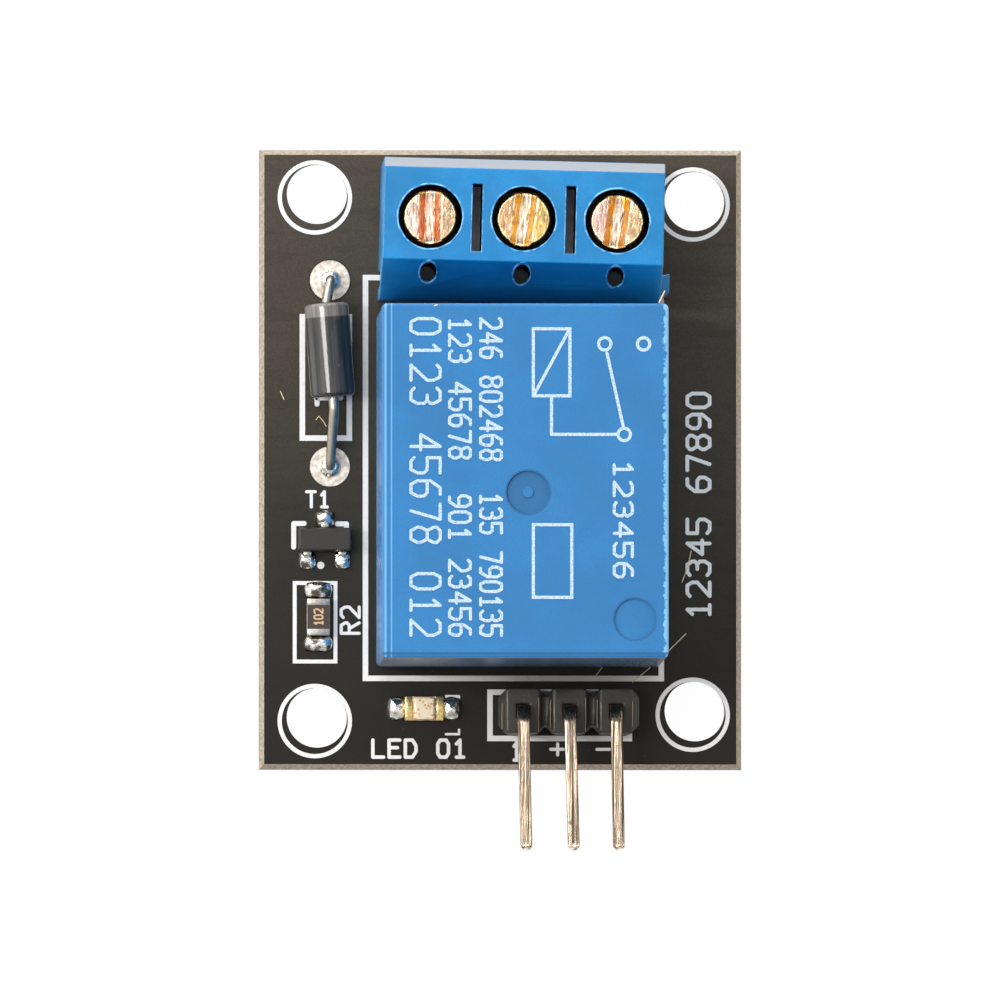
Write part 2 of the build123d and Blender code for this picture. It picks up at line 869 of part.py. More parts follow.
# Header strip: chamfered blocks in a row, grooved between them
header_length = header_count * header_pitch
with BuildPart(header_plane) as header_insulator:
    with BuildSketch(header_plane):
        for offset in header_offsets:
            with BuildSketch(mode=Mode.PRIVATE) as block:
                with Locations((offset, 0)):
                    Rectangle(header_pitch, header_depth)
                chamfer(block.vertices(), length=header_corner)
            add(block.sketch_local)
        with Locations(*[(offset, 0) for offset in header_offsets]):
            Rectangle(
                header_pin_width + 2 * header_pin_clearance,
                header_pin_width + 2 * header_pin_clearance,
                mode=Mode.SUBTRACT,
            )
    extrude(amount=header_height)
    with BuildSketch(front_plane(header_plane, header_depth / 2)):
        for joint in range(header_count + 1):
            with Locations((joint * header_pitch - header_length / 2, header_height)):
                Polygon(
                    (-header_groove_top / 2, 0),
                    (header_groove_top / 2, 0),
                    (header_groove_floor / 2, -header_groove_depth),
                    (-header_groove_floor / 2, -header_groove_depth),
                    align=None,
                )
    extrude(amount=header_depth, mode=Mode.SUBTRACT)
write_piece("header_insulator", header_insulator)


def make_header_pin(offset, lean):
    """Square pin, bent a right angle toward the board's edge and leaning by some degrees."""
    foot = header_plane.from_local_coords((offset, 0, -board_thickness))
    heading = Vector(sin(radians(lean)), -cos(radians(lean)), 0)
    pin_plane = Plane(foot, x_dir=heading, z_dir=heading.cross(Vector(0, 0, 1)))
    bend_start = board_thickness + header_height + header_pin_rise
    with BuildPart() as pin:
        with BuildSketch(pin_plane):
            with BuildLine():
                FilletPolyline(
                    (0, -trimmed_reach),
                    (0, bend_start + header_bend_radius),
                    (header_pin_run, bend_start + header_bend_radius),
                    radius=header_bend_radius,
                )
            trace(line_width=header_pin_width)
        extrude(amount=header_pin_width / 2, both=True)
        tip = faces().sort_by(Axis(foot, heading))[-1]
        chamfer(tip.edges(), length=header_tip_chamfer)
    return pin


header_pins = [
    make_header_pin(offset, lean) for offset, lean in zip(header_offsets, header_pin_leans)
]
for number, pin in enumerate(header_pins):
    write_piece(f"header_pin_{number + 1}", pin)

# Diode body, lying a little askew over its pads
diode_height = board_thickness + diode_lift + diode_radius
diode_axis = Vector(-sin(radians(diode_turn)), cos(radians(diode_turn)), 0)
diode_middle = Vector(diode_x, diode_y, diode_height)
diode_plane = Plane(diode_middle, x_dir=(0, 0, 1), z_dir=diode_axis)
with BuildPart(diode_plane) as diode_body:
    Cylinder(diode_radius, diode_length)
    chamfer(edges().filter_by(GeomType.CIRCLE), length=diode_edge_chamfer)
write_piece("diode_body", diode_body)


def make_diode_lead(route, radii):
    """Round lead swept along straight runs with a bend at each corner."""
    with BuildPart() as lead:
        with BuildLine() as path:
            FilletPolyline(*route, radius=radii)
        with BuildSketch(Plane(route[0], z_dir=route[1] - route[0])):
            RegularPolygon(diode_lead_radius, small_round_sides)
        sweep(path=path.line)
    return lead


lead_start = diode_length / 2 + diode_lead_gap
cathode_end = diode_middle + diode_axis * lead_start
anode_end = diode_middle - diode_axis * lead_start
cathode_route = [
    cathode_end,
    Vector(*cathode_pad, diode_height),
    Vector(*cathode_pad, -trimmed_reach),
]
anode_route = [
    anode_end,
    anode_end - diode_axis * anode_run,
    Vector(*anode_pad, diode_height - anode_drop),
    Vector(*anode_pad, -trimmed_reach),
]
diode_cathode_lead = make_diode_lead(cathode_route, short_bend_radius)
diode_anode_lead = make_diode_lead(anode_route, [anode_bend_radius, short_bend_radius])
write_piece("diode_cathode_lead", diode_cathode_lead)
write_piece("diode_anode_lead", diode_anode_lead)

# Transistor body, drafted both ways from the parting line that its leads leave by
parting_level = transistor_lift + transistor_height / 2
with BuildPart(transistor_plane) as transistor_body:
    with BuildSketch(transistor_plane.offset(parting_level)):
        Rectangle(transistor_length, transistor_width)
    extrude(amount=transistor_height / 2, taper=transistor_draft)
    with BuildSketch(transistor_plane.offset(parting_level)):
        Rectangle(transistor_length, transistor_width)
    extrude(amount=-transistor_height / 2, taper=transistor_draft)
write_piece("transistor_body", transistor_body)


def make_gull_lead(x, side):
    """Lead that leaves the body at the parting line and ends in a foot on the pad."""
    foot_level = pad_coat + lead_thickness / 2
    with BuildPart() as lead:
        with BuildSketch(side_plane(transistor_plane, x - lead_width / 2)):
            with BuildLine():
                Polyline(
                    (side * transistor_width / 2, parting_level),
                    (side * (transistor_width / 2 + lead_shoulder), parting_level),
                    (side * (lead_reach - lead_foot), foot_level),
                    (side * lead_reach, foot_level),
                )
            trace(line_width=lead_thickness)
        extrude(amount=lead_width)
    return lead


with BuildPart() as transistor_leads:
    add(make_gull_lead(0, 1).part)
    add(make_gull_lead(-lead_pitch / 2, -1).part)
    add(make_gull_lead(lead_pitch / 2, -1).part)
write_piece("transistor_leads", transistor_leads)

# Chip resistor: ceramic body and the two caps that wrap its ends
resistor_bottom = pad_coat + resistor_cap_thickness
with BuildPart(resistor_plane) as resistor_body:
    with Locations((0, 0, resistor_bottom)):
        Box(
            resistor_width,
            resistor_length - 2 * resistor_cap_thickness,
            resistor_height,
            align=standing,
        )
write_piece("resistor_body", resistor_body)

with BuildPart(resistor_plane) as resistor_terminals:
    for end in (-1, 1):
        cap_y = end * (resistor_length - resistor_cap_length) / 2
        with Locations((0, cap_y, pad_coat)):
            Box(
                resistor_width,
                resistor_cap_length,
                resistor_height + 2 * resistor_cap_thickness,
                align=standing,
            )
    with Locations((0, 0, resistor_bottom)):
        Box(
            resistor_width,
            resistor_length - 2 * resistor_cap_thickness,
            resistor_height,
            align=standing,
            mode=Mode.SUBTRACT,
        )
write_piece("resistor_terminals", resistor_terminals)

# Chip lamp: carrier, end terminals and a drafted lens between them
lamp_carrier_bottom = pad_coat + lamp_terminal_thickness
lamp_carrier_top = lamp_carrier_bottom + lamp_carrier_height
with BuildPart(lamp_plane) as led_carrier:
    with Locations((0, 0, lamp_carrier_bottom)):
        Box(
            lamp_length - 2 * lamp_terminal_thickness,
            lamp_width,
            lamp_carrier_height,
            align=standing,
        )
write_piece("led_carrier", led_carrier)

with BuildPart(lamp_plane) as led_terminals:
    for end in (-1, 1):
        with Locations((end * (lamp_length - lamp_terminal_length) / 2, 0, pad_coat)):
            Box(
                lamp_terminal_length,
                lamp_width,
                lamp_carrier_height + 2 * lamp_terminal_thickness,
                align=standing,
            )
    with Locations((0, 0, lamp_carrier_bottom)):
        Box(
            lamp_length - 2 * lamp_terminal_thickness,
            lamp_width,
            lamp_carrier_height,
            align=standing,
            mode=Mode.SUBTRACT,
        )
write_piece("led_terminals", led_terminals)

with BuildPart(lamp_plane) as led_lens:
    with BuildSketch(lamp_plane.offset(lamp_carrier_top)):
        Rectangle(lamp_lens_length, lamp_width)
    extrude(amount=lamp_lens_height, taper=lamp_lens_draft)
write_piece("led_lens", led_lens)


def solder_cone(x, y, level, pad_radius, pin_half_size, height):
    """Solder round a pin, from its pad at that level down, or up where the height is over 0."""
    pad_plane = Plane((x, y, level), x_dir=(1, 0, 0), z_dir=(0, 0, height / abs(height)))
    taper_run = pad_radius - pin_half_size - cone_tip_margin
    with BuildPart() as cone:
        with BuildSketch(pad_plane):
            RegularPolygon(pad_radius, small_round_sides)
        extrude(amount=abs(height), taper=degrees(atan2(taper_run, abs(height))))
    return cone.part


def cut_pin(x, y, size_x, size_y, turn=0.0):
    """Cut the square way of a pin through its solder, from above the board to below it."""
    with Locations(Location((x, y, board_thickness + cap_height), (0, 0, turn))):
        Box(
            size_x,
            size_y,
            board_thickness + cap_height + cone_height,
            align=hanging,
            mode=Mode.SUBTRACT,
        )


# Solder of the screw terminal
with BuildPart() as solder_terminal:
    for offset in pole_offsets:
        pin_point = terminal_plane.from_local_coords((offset, 0, 0))
        cone = solder_cone(
            terminal_x + offset,
            terminal_y,
            0,
            terminal_pad_radius,
            terminal_drill_radius,
            -cone_height,
        )
        add(cone)
        cut_pin(
            pin_point.X,
            pin_point.Y,
            terminal_pin_width,
            terminal_pin_width,
            terminal_turn,
        )
write_piece("solder_terminal", solder_terminal)

# Solder of the relay
with BuildPart() as solder_relay:
    for x, y, size_x, size_y in relay_pins:
        cone = solder_cone(
            relay_x + x,
            relay_y + y,
            0,
            relay_pad_radius,
            hypot(size_x, size_y) / 2,
            -cone_height,
        )
        add(cone)
        cut_pin(relay_x + x, relay_y + y, size_x, size_y)
write_piece("solder_relay", solder_relay)

# Solder of the header
with BuildPart() as solder_header:
    for offset, lean in zip(header_offsets, header_pin_leans):
        cone = solder_cone(
            header_x + offset,
            header_y,
            0,
            header_pad_radius,
            header_drill_radius,
            -cone_height,
        )
        add(cone)
        cut_pin(header_x + offset, header_y, header_pin_width, header_pin_width, lean)
write_piece("solder_header", solder_header)

# Solder of the diode, which shows on both faces of the board
with BuildPart() as solder_diode:
    for x, y in (cathode_pad, anode_pad):
        for level, height in ((0, -cone_height), (board_thickness, cap_height)):
            cone = solder_cone(
                x,
                y,
                level,
                diode_pad_radius,
                diode_lead_radius,
                height,
            )
            add(cone)
        with BuildSketch(Plane.XY.offset(-cone_height)):
            with Locations((x, y)):
                RegularPolygon(diode_lead_radius + solder_gap, small_round_sides)
        extrude(amount=cone_height + board_thickness + cap_height, mode=Mode.SUBTRACT)
write_piece("solder_diode", solder_diode)


def pad_mound(plane, x, y, size_x, size_y, height):
    """Solder of one flat pad: its thin coat and a mound with sloping sides."""
    with BuildPart() as mound:
        with BuildSketch(plane):
            with Locations((x, y)):
                Rectangle(size_x, size_y)
        extrude(amount=pad_coat)
        with BuildSketch(plane.offset(pad_coat)):
            with Locations((x, y)):
                Rectangle(size_x, size_y)
        extrude(amount=height, taper=mound_taper)
    return mound.part


# Solder of the transistor
with BuildPart() as solder_transistor:
    pad_length = transistor_pad_reach - transistor_width / 2
    for x, side in ((0, 1), (-lead_pitch / 2, -1), (lead_pitch / 2, -1)):
        pad_y = side * (transistor_pad_reach - pad_length / 2)
        add(
            pad_mound(
                transistor_plane,
                x,
                pad_y,
                transistor_pad_width if side > 0 else min(transistor_pad_width, lead_pitch / 2),
                pad_length,
                transistor_mound_height,
            )
        )
    add(transistor_leads.part, mode=Mode.SUBTRACT)
write_piece("solder_transistor", solder_transistor)

# Solder of the resistor
with BuildPart() as solder_resistor:
    pad_length = resistor_pad_reach + resistor_cap_length
    for end in (-1, 1):
        pad_y = end * (resistor_length / 2 + resistor_pad_reach - pad_length / 2)
        add(
            pad_mound(
                resistor_plane,
                0,
                pad_y,
                resistor_pad_width,
                pad_length,
                resistor_mound_height,
            )
        )
    add(resistor_terminals.part, mode=Mode.SUBTRACT)
    add(resistor_body.part, mode=Mode.SUBTRACT)
write_piece("solder_resistor", solder_resistor)

# Solder of the lamp
with BuildPart() as solder_led:
    pad_length = lamp_pad_reach + lamp_terminal_length
    for end in (-1, 1):
        pad_x = end * (lamp_length / 2 + lamp_pad_reach - pad_length / 2)
        add(pad_mound(lamp_plane, pad_x, 0, pad_length, lamp_pad_width, lamp_mound_height))
    add(led_terminals.part, mode=Mode.SUBTRACT)
    add(led_carrier.part, mode=Mode.SUBTRACT)
write_piece("solder_led", solder_led)
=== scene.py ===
from math import cos, hypot, pi, radians, sin

import bmesh
import bpy
from bpy.props import FloatProperty, FloatVectorProperty, PointerProperty
from mathutils import Matrix, Vector, noise


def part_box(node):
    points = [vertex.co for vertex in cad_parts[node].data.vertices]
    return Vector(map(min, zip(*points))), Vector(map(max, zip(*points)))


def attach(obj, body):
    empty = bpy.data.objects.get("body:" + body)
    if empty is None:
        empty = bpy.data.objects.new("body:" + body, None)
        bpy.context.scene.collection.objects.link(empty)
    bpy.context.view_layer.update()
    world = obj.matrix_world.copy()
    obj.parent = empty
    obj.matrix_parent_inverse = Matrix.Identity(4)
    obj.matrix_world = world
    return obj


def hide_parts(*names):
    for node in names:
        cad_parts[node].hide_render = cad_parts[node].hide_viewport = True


bl_info = {
    "name": "Relay module looks",
    "version": (1, 0, 0),
    "blender": (4, 5, 0),
    "location": "View3D > Sidebar > Relay module",
    "description": "Finishes, printed marks, solder and studio of a small relay module board",
    "category": "Object",
}

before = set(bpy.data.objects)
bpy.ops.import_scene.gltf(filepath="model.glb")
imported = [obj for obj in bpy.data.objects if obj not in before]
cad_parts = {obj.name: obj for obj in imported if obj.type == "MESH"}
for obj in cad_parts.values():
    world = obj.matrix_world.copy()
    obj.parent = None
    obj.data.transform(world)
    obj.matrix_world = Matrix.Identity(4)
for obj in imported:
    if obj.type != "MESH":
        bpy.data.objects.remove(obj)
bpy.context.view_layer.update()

# Sizes are in millimetres here. Each mesh is scaled to metres when it becomes a piece.
MM = 0.001
BOARD_TOP = 1.6
RELAY_X, RELAY_Y = 0.66, -1.96
RELAY_TOP = 16.9
TERMINAL_X, TERMINAL_Y, TERMINAL_TURN = 0.72, 12.46, -1.4
TERMINAL_TOP = 11.6
POLES = (-5.08, 0.0, 5.08)
SCREW_HEADINGS = (89, 82, 82)
MOUNT_HOLES = ((-10.3, 14.28), (10.3, 13.92), (-10.3, -14.28), (10.3, -13.92))
DIODE_X, DIODE_Y, DIODE_TURN = -9.63, 5.69, 4.2
DIODE_PADS = ((-9.6, 9.555), (-9.6, -0.605))
RELAY_PINS = ((0.66, -10.16), (6.66, -8.21), (-5.34, -8.21), (-5.34, 4.04), (6.66, 4.04))
HEADER_PINS = ((0.85, -13.98), (3.39, -13.98), (5.93, -13.98))
SLOT_OFFSET = 2.54
SLOT_HALF_WIDTH = 0.3
WELL_RADIUS = 1.74
TEST_HOLE_RADIUS = 0.45
TEST_HOLE_SLOPE = 69.2
OUTLINE_WIDTH = 0.3
RELAY_LINE_WIDTH = 0.17
RELAY_INK_HEIGHT = 0.012
PAD_RADIUS = 1.1
CAMERA_TARGET = (-0.324, -2.417, 1.6)
CAMERA_DIRECTION = (-0.025, -0.039, 1)
CAMERA_DISTANCE = 1817 * MM
FLOOR_REACH = 1500
DIODE_MOUND = ((0, 1.6), (0.64, 1.6), (0.6, 1.68), (0.5, 1.8), (0.4, 1.93), (0.3, 1.98), (0, 2.0))
DIODE_PAD = ((0, 1.6), (PAD_RADIUS, 1.6), (1.08, 1.64), (0.6, 1.645), (0, 1.645))
# Lumps of solder: place, size along X and Y, height and seed
TRANSISTOR_LUMPS = (
    (-9.88, -3.5, 1.06, 1.05, 0.55, 1),
    (-10.83, -5.72, 0.95, 1.0, 0.34, 2),
    (-8.93, -5.72, 0.95, 1.0, 0.34, 3),
)
RESISTOR_LUMPS = ((-10.23, -7.35, 1.56, 0.95, 0.46, 4), (-10.23, -10.25, 1.56, 0.95, 0.46, 5))
LAMP_LUMPS = ((-5.95, -13.8, 1.05, 1.34, 0.62, 6), (-2.98, -13.8, 1.05, 1.34, 0.62, 7))
BOARD_FIBRES = (
    ((9.82, -9.7), (8.4, -11.1), (6.9, -12.35)),
    ((5.35, -11.4), (4.9, -12.0)),
    ((-10.35, 1.95), (-10.2, 2.15), (-9.95, 1.85), (-9.8, 1.6)),
    ((-12.3, 3.5), (-12.1, 3.05)),
    ((-5.8, 6.35), (-5.7, 6.1)),
    ((9.6, -6.9), (9.9, -6.1), (10.1, -5.2)),
)
RELAY_FIBRES = (((8.2, 8.3), (7.9, 7.7)), ((-4.25, 7.5), (-4.1, 7.55)))
# Overlapping strokes lie a little above each other, so that no two faces share a plane.
STROKE_RISE = 0.0015
# Characters are drawn on a grid of 9 steps, and fill this share of their pitch.
GRID_STEPS = 9
CHARACTER_SHARE = 0.66


def srgb(red, green, blue):
    """Linear colour of one that is given from 0 to 255."""
    shares = [value / 255 for value in (red, green, blue)]
    return tuple(s / 12.92 if s <= 0.04045 else ((s + 0.055) / 1.055) ** 2.4 for s in shares) + (1.0,)


def colour_setting(name, description, default):
    """Setting for a linear colour."""
    return FloatVectorProperty(
        name=name, description=description, default=default[:3], size=3, min=0, max=1, subtype="COLOR"
    )


def number_setting(name, description, default, lowest, highest):
    """Setting for a plain number."""
    return FloatProperty(name=name, description=description, default=default, min=lowest, max=highest)


class BoardFinish(bpy.types.PropertyGroup):
    """Colours of the bare board and its print."""

    mask: colour_setting("Solder mask", "Black-brown lacquer over the board", srgb(46, 41, 34))
    laminate: colour_setting("Laminate", "Snapped edges and hole walls", srgb(160, 149, 134))
    print_ink: colour_setting("Print", "White ink of the printed marks", srgb(222, 220, 218))
    print_height: number_setting("Print height", "Thickness of the ink in millimetres", 0.02, 0.005, 0.1)


class PlasticFinish(bpy.types.PropertyGroup):
    """Colours of the moulded parts."""

    terminal: colour_setting("Terminal", "Moulded screw terminal", srgb(16, 122, 180))
    relay: colour_setting("Relay cover", "Moulded relay cover", srgb(31, 111, 169))
    relay_base: colour_setting("Relay base", "Moulded relay base", srgb(24, 62, 110))
    header: colour_setting("Header strip", "Moulded header strip", srgb(56, 52, 46))
    edge_round: number_setting("Edge round", "Softened edges of mouldings in millimetres", 0.07, 0.0, 0.3)


class StudioSettings(bpy.types.PropertyGroup):
    """Floor, lamps and camera."""

    floor_level: number_setting("Floor level", "Height of the floor in millimetres", -1.93, -20, 0)
    key_power: number_setting("Key light", "Power of the soft light overhead in watts", 0.9, 0, 50)
    horizon_power: number_setting("Horizon light", "Power of the low light behind, in watts", 0.9, 0, 50)
    strip_power: number_setting("Strip light", "Power of the narrow light for streaks in watts", 1.6, 0, 50)
    lens: FloatProperty(
        name="Lens", description="Focal length", default=1200, min=50, max=2000, subtype="DISTANCE_CAMERA"
    )


class Finish:
    """A material whose patterns lie in the object's own coordinates."""

    def __init__(self, name, colour, roughness=0.5, metallic=0.0, **sockets):
        self.material = bpy.data.materials.new(name)
        self.material.use_nodes = True
        self.tree = self.material.node_tree
        self.tree.nodes.clear()
        self.shader = self.node("ShaderNodeBsdfPrincipled")
        output = self.node("ShaderNodeOutputMaterial")
        self.tree.links.new(self.shader.outputs["BSDF"], output.inputs["Surface"])
        self.shader.inputs["Base Color"].default_value = tuple(colour[:3]) + (1.0,)
        self.shader.inputs["Roughness"].default_value = roughness
        self.shader.inputs["Metallic"].default_value = metallic
        for socket, value in sockets.items():
            self.shader.inputs[socket.replace("_", " ")].default_value = value
        self.place = self.node("ShaderNodeTexCoord")

    def node(self, kind, **settings):
        made = self.tree.nodes.new(kind)
        for name, value in settings.items():
            setattr(made, name, value)
        return made

    def feed(self, socket, value):
        """Link an output to a socket, or write a plain value in it."""
        if isinstance(value, bpy.types.NodeSocket):
            self.tree.links.new(value, socket)
        elif isinstance(value, (tuple, list)) and socket.type == "RGBA":
            socket.default_value = tuple(value[:3]) + (1.0,)
        else:
            socket.default_value = value

    def built(self, kind, output, inputs, **settings):
        """Output of a new node whose inputs are linked or written."""
        made = self.node(kind, **settings)
        for name, value in inputs.items():
            self.feed(made.inputs[name], value)
        return made.outputs[output]

    def moved(self, centre=(0, 0, 0), turn=0.0, stretch=(1, 1, 1)):
        """Object coordinates seen from a centre, turned about Z and stretched."""
        inputs = {
            "Vector": self.place.outputs["Object"],
            "Location": Vector(centre) * MM,
            "Rotation": (0, 0, radians(turn)),
            "Scale": stretch,
        }
        return self.built("ShaderNodeMapping", "Vector", inputs, vector_type="TEXTURE")

    def noise(self, per_mm, detail=2.0, roughness=0.5, place=None, distortion=0.0):
        """Noise with about so many grains in a millimetre."""
        inputs = {
            "Vector": place or self.place.outputs["Object"],
            "Scale": per_mm / MM,
            "Detail": detail,
            "Roughness": roughness,
            "Distortion": distortion,
        }
        return self.built("ShaderNodeTexNoise", "Fac", inputs)

    def cells(self, per_mm):
        """Distance to the middle of scattered cells."""
        inputs = {"Vector": self.place.outputs["Object"], "Scale": per_mm / MM}
        return self.built("ShaderNodeTexVoronoi", "Distance", inputs)

    def spread(self, value, low, high, to_low=0.0, to_high=1.0):
        """Value that rises softly from one level to another."""
        inputs = {"Value": value, "From Min": low, "From Max": high, "To Min": to_low, "To Max": to_high}
        return self.built("ShaderNodeMapRange", "Result", inputs, interpolation_type="SMOOTHSTEP")

    def mottle(self, grain, low, high, to_low=0.0, to_high=1.0):
        """Patches of noise, cut off softly between two levels."""
        return self.spread(self.noise(*grain), low, high, to_low, to_high)

    def between(self, value, low_mm, high_mm, edge_mm=0.03):
        """1 where a length lies between two others, 0 elsewhere."""
        over = self.spread(value, (low_mm - edge_mm) * MM, (low_mm + edge_mm) * MM)
        under = self.spread(value, (high_mm - edge_mm) * MM, (high_mm + edge_mm) * MM, 1, 0)
        return self.times(over, under)

    def maths(self, operation, first, second=0.0):
        return self.built("ShaderNodeMath", "Value", {0: first, 1: second}, operation=operation)

    def times(self, first, second):
        return self.maths("MULTIPLY", first, second)

    def reach(self, place):
        """Distance of a place from its centre."""
        return self.built("ShaderNodeVectorMath", "Value", {0: place}, operation="LENGTH")

    def axes(self, place):
        made = self.node("ShaderNodeSeparateXYZ")
        self.feed(made.inputs["Vector"], place)
        return made.outputs

    def blend(self, share, first, second):
        """First colour where the share is 0, second where it is 1."""
        made = self.node("ShaderNodeMix", data_type="RGBA")
        for name, value in (("Factor", share), ("A", first), ("B", second)):
            self.feed(made.inputs[name], value)
        return next(o for o in made.outputs if o.type == "RGBA")

    def shaded(self, share, colour, dark, light):
        """Blend of a darker and a lighter shade of a colour."""
        return self.blend(share, shade(colour, dark), shade(colour, light))

    def paint(self, colour):
        self.feed(self.shader.inputs["Base Color"], colour)

    def sheen_of(self, value):
        self.feed(self.shader.inputs["Roughness"], value)

    def relief(self, height, depth_mm):
        """Bump of a depth in millimetres."""
        inputs = {"Strength": 1.0, "Distance": depth_mm * MM, "Height": height}
        self.feed(self.shader.inputs["Normal"], self.built("ShaderNodeBump", "Normal", inputs))


def shade(colour, share):
    """The same colour, lighter or darker."""
    return tuple(min(channel * share, 1.0) for channel in colour[:3])


def moulded_finish(name, colour, roughness=0.42, grain=14, grain_depth=0.006, bright=1.25):
    """Moulded plastic with a fine grain, faint flow marks and dusty specks."""
    finish = Finish(name, colour, roughness, Specular_IOR_Level=0.4)
    cloud = finish.mottle((0.22, 3), 0.3, 0.7)
    base = finish.shaded(cloud, colour, 0.93, 1.06)
    dust = finish.mottle((3.1, 4, 0.7), 0.69, 0.8, 0.0, 0.5)
    finish.paint(finish.blend(dust, base, shade(colour, bright)))
    finish.sheen_of(finish.mottle((1.3, 3), 0.3, 0.7, roughness - 0.06, roughness + 0.08))
    finish.relief(finish.noise(grain, 2, 0.6), grain_depth)
    return finish.material


def metal_finish(name, colour, roughness=0.3, along=(1, 1, 1), turn=0.0, per_mm=8, depth=0.01, stain=None):
    """Plated metal with streaks along one direction and a little staining."""
    finish = Finish(name, colour, roughness, 1.0)
    streaks = finish.noise(per_mm, 4, 0.6, place=finish.moved(turn=turn, stretch=along))
    tone = finish.blend(finish.spread(streaks, 0.3, 0.7), shade(colour, 0.62), shade(colour, 1.1))
    spots = finish.mottle((1.6, 4, 0.65), 0.52, 0.7, 0.0, 0.6)
    finish.paint(finish.blend(spots, tone, stain or shade(colour, 0.7)))
    finish.sheen_of(finish.spread(streaks, 0.25, 0.75, roughness + 0.12, roughness - 0.06))
    finish.relief(streaks, depth)
    return finish.material


def board_finish(settings):
    """Satin mask on the faces, bare laminate wherever the surface isn't level."""
    finish = Finish("board_lacquer", settings.mask, 0.4, Specular_IOR_Level=0.2)
    mask = settings.mask
    # Painted light: the mask is painted darker towards -Y and lighter towards +Y, as the light falls on the
    # board.
    height = finish.axes(finish.place.outputs["Object"])["Y"]
    sway = finish.times(finish.noise(0.12, 2), 0.012)
    painted_light_gradient = finish.spread(finish.maths("ADD", height, sway), -0.012, 0.022)
    lacquer = finish.shaded(painted_light_gradient, mask, 0.4, 2.2)
    copper = finish.noise(1.25, 2, 0.5, place=finish.moved(stretch=(5, 1, 1)))
    lacquer = finish.blend(finish.spread(copper, 0.52, 0.6, 0.0, 0.16), lacquer, shade(mask, 0.45))
    grime = finish.mottle((2.6, 5, 0.75), 0.66, 0.76, 0.0, 0.35)
    lacquer = finish.blend(grime, lacquer, srgb(116, 106, 92))
    grain = finish.mottle((11, 2, 0.6), 0.4, 0.6)
    lacquer = finish.blend(finish.times(grain, 0.25), lacquer, shade(mask, 0.5))
    fibres = finish.mottle((6, 3, 0.6), 0.35, 0.65)
    bare = finish.shaded(fibres, settings.laminate, 0.72, 1.12)
    up = finish.axes(finish.place.outputs["Normal"])["Z"]
    level = finish.spread(finish.maths("ABSOLUTE", up), 0.9, 0.97)
    finish.paint(finish.blend(level, bare, lacquer))
    finish.sheen_of(finish.spread(level, 0, 1, 0.8, 0.4))
    finish.relief(finish.maths("ADD", copper, finish.noise(9, 3)), 0.008)
    return finish.material


def ink_finish(name, colour, wear_and_highlights=0.35):
    """White ink with thin spots."""
    finish = Finish(name, colour, 0.6)
    thin = finish.mottle((4.5, 4, 0.7), 0.52, 0.72, 0.0, wear_and_highlights)
    finish.paint(finish.blend(thin, tuple(colour[:3]), shade(colour, 0.62)))
    finish.relief(finish.noise(18, 3), 0.008)
    return finish.material


def solder_finish(name, flux_share=0.45):
    """Bright solder that set in soft waves, with flux here and there."""
    finish = Finish(name, srgb(250, 247, 240), 0.12, 1.0)
    waves = finish.noise(1.7, 3, 0.55, distortion=0.6)
    wider = flux_share / 5
    flux = finish.mottle((2.3, 3), 0.62 - wider, 0.76 - wider, 0.0, flux_share)
    finish.paint(finish.blend(flux, srgb(255, 252, 246), srgb(84, 72, 56)))
    finish.sheen_of(finish.spread(waves, 0.3, 0.75, 0.06, 0.26))
    finish.relief(waves, 0.09)
    return finish.material


def use(piece, material):
    """Give a piece its material, ahead of any other."""
    if piece.data.materials:
        piece.data.materials[0] = material
    else:
        piece.data.materials.append(material)


def dress(names, material):
    """Give CAD nodes a material where they stand."""
    for name in names:
        use(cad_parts[name], material)


def add_piece(name, shape, material, body="root", replaces=(), smooth=30):
    """Turn a shape in millimetres into a piece that rides on a body."""
    bmesh.ops.scale(shape, vec=(MM, MM, MM), verts=shape.verts)
    mesh = bpy.data.meshes.new(name)
    shape.to_mesh(mesh)
    shape.free()
    piece = bpy.data.objects.new(name, mesh)
    bpy.context.scene.collection.objects.link(piece)
    if smooth:
        mesh.shade_smooth()
        mesh.set_sharp_from_angle(angle=radians(smooth))
    use(piece, material)
    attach(piece, body)
    if replaces:
        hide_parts(*replaces)
    return piece


def merged_copy(node):
    """Shape of a CAD node in millimetres, its corners joined and its level faces made whole."""
    shape = bmesh.new()
    shape.from_mesh(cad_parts[node].data)
    bmesh.ops.scale(shape, vec=(1 / MM, 1 / MM, 1 / MM), verts=shape.verts)
    bmesh.ops.remove_doubles(shape, verts=shape.verts, dist=0.001)
    bmesh.ops.dissolve_limit(shape, angle_limit=radians(0.5), verts=shape.verts, edges=shape.edges)
    return shape


def soften(shape, width, angle=35, segments=2):
    """Round every edge sharper than an angle."""
    edges = [e for e in shape.edges if e.is_manifold and abs(e.calc_face_angle(0)) > radians(angle)]
    bmesh.ops.bevel(
        shape,
        geom=edges,
        offset=width,
        offset_type="OFFSET",
        affect="EDGES",
        segments=segments,
        profile=0.5,
        material=-1,
        clamp_overlap=False,
    )
    return shape


def softened_piece(name, node, width, material, body="root", angle=35, smooth=50, hollow=None):
    """Copy of a CAD node with softened edges, which stands for it.

    hollow is a pair: further materials, and a test that gives a face the number of its material.
    """
    shape = soften(merged_copy(node), width, angle)
    if hollow:
        for face in shape.faces:
            face.material_index = int(hollow[1](face))
    piece = add_piece(name, shape, material, body, (node,), smooth)
    for further in hollow[0] if hollow else ():
        piece.data.materials.append(further)
    weights = piece.modifiers.new("Even faces", "WEIGHTED_NORMAL")
    weights.keep_sharp = True
    return piece


def ring(shape, x, y, level, inner, outer, sides=64):
    """Flat ring."""
    loops = []
    for radius in (inner, outer):
        made = bmesh.ops.create_circle(
            shape, segments=sides, radius=radius, matrix=Matrix.Translation((x, y, level))
        )
        loops += list({e for v in made["verts"] for e in v.link_edges})
    bmesh.ops.bridge_loops(shape, edges=loops)


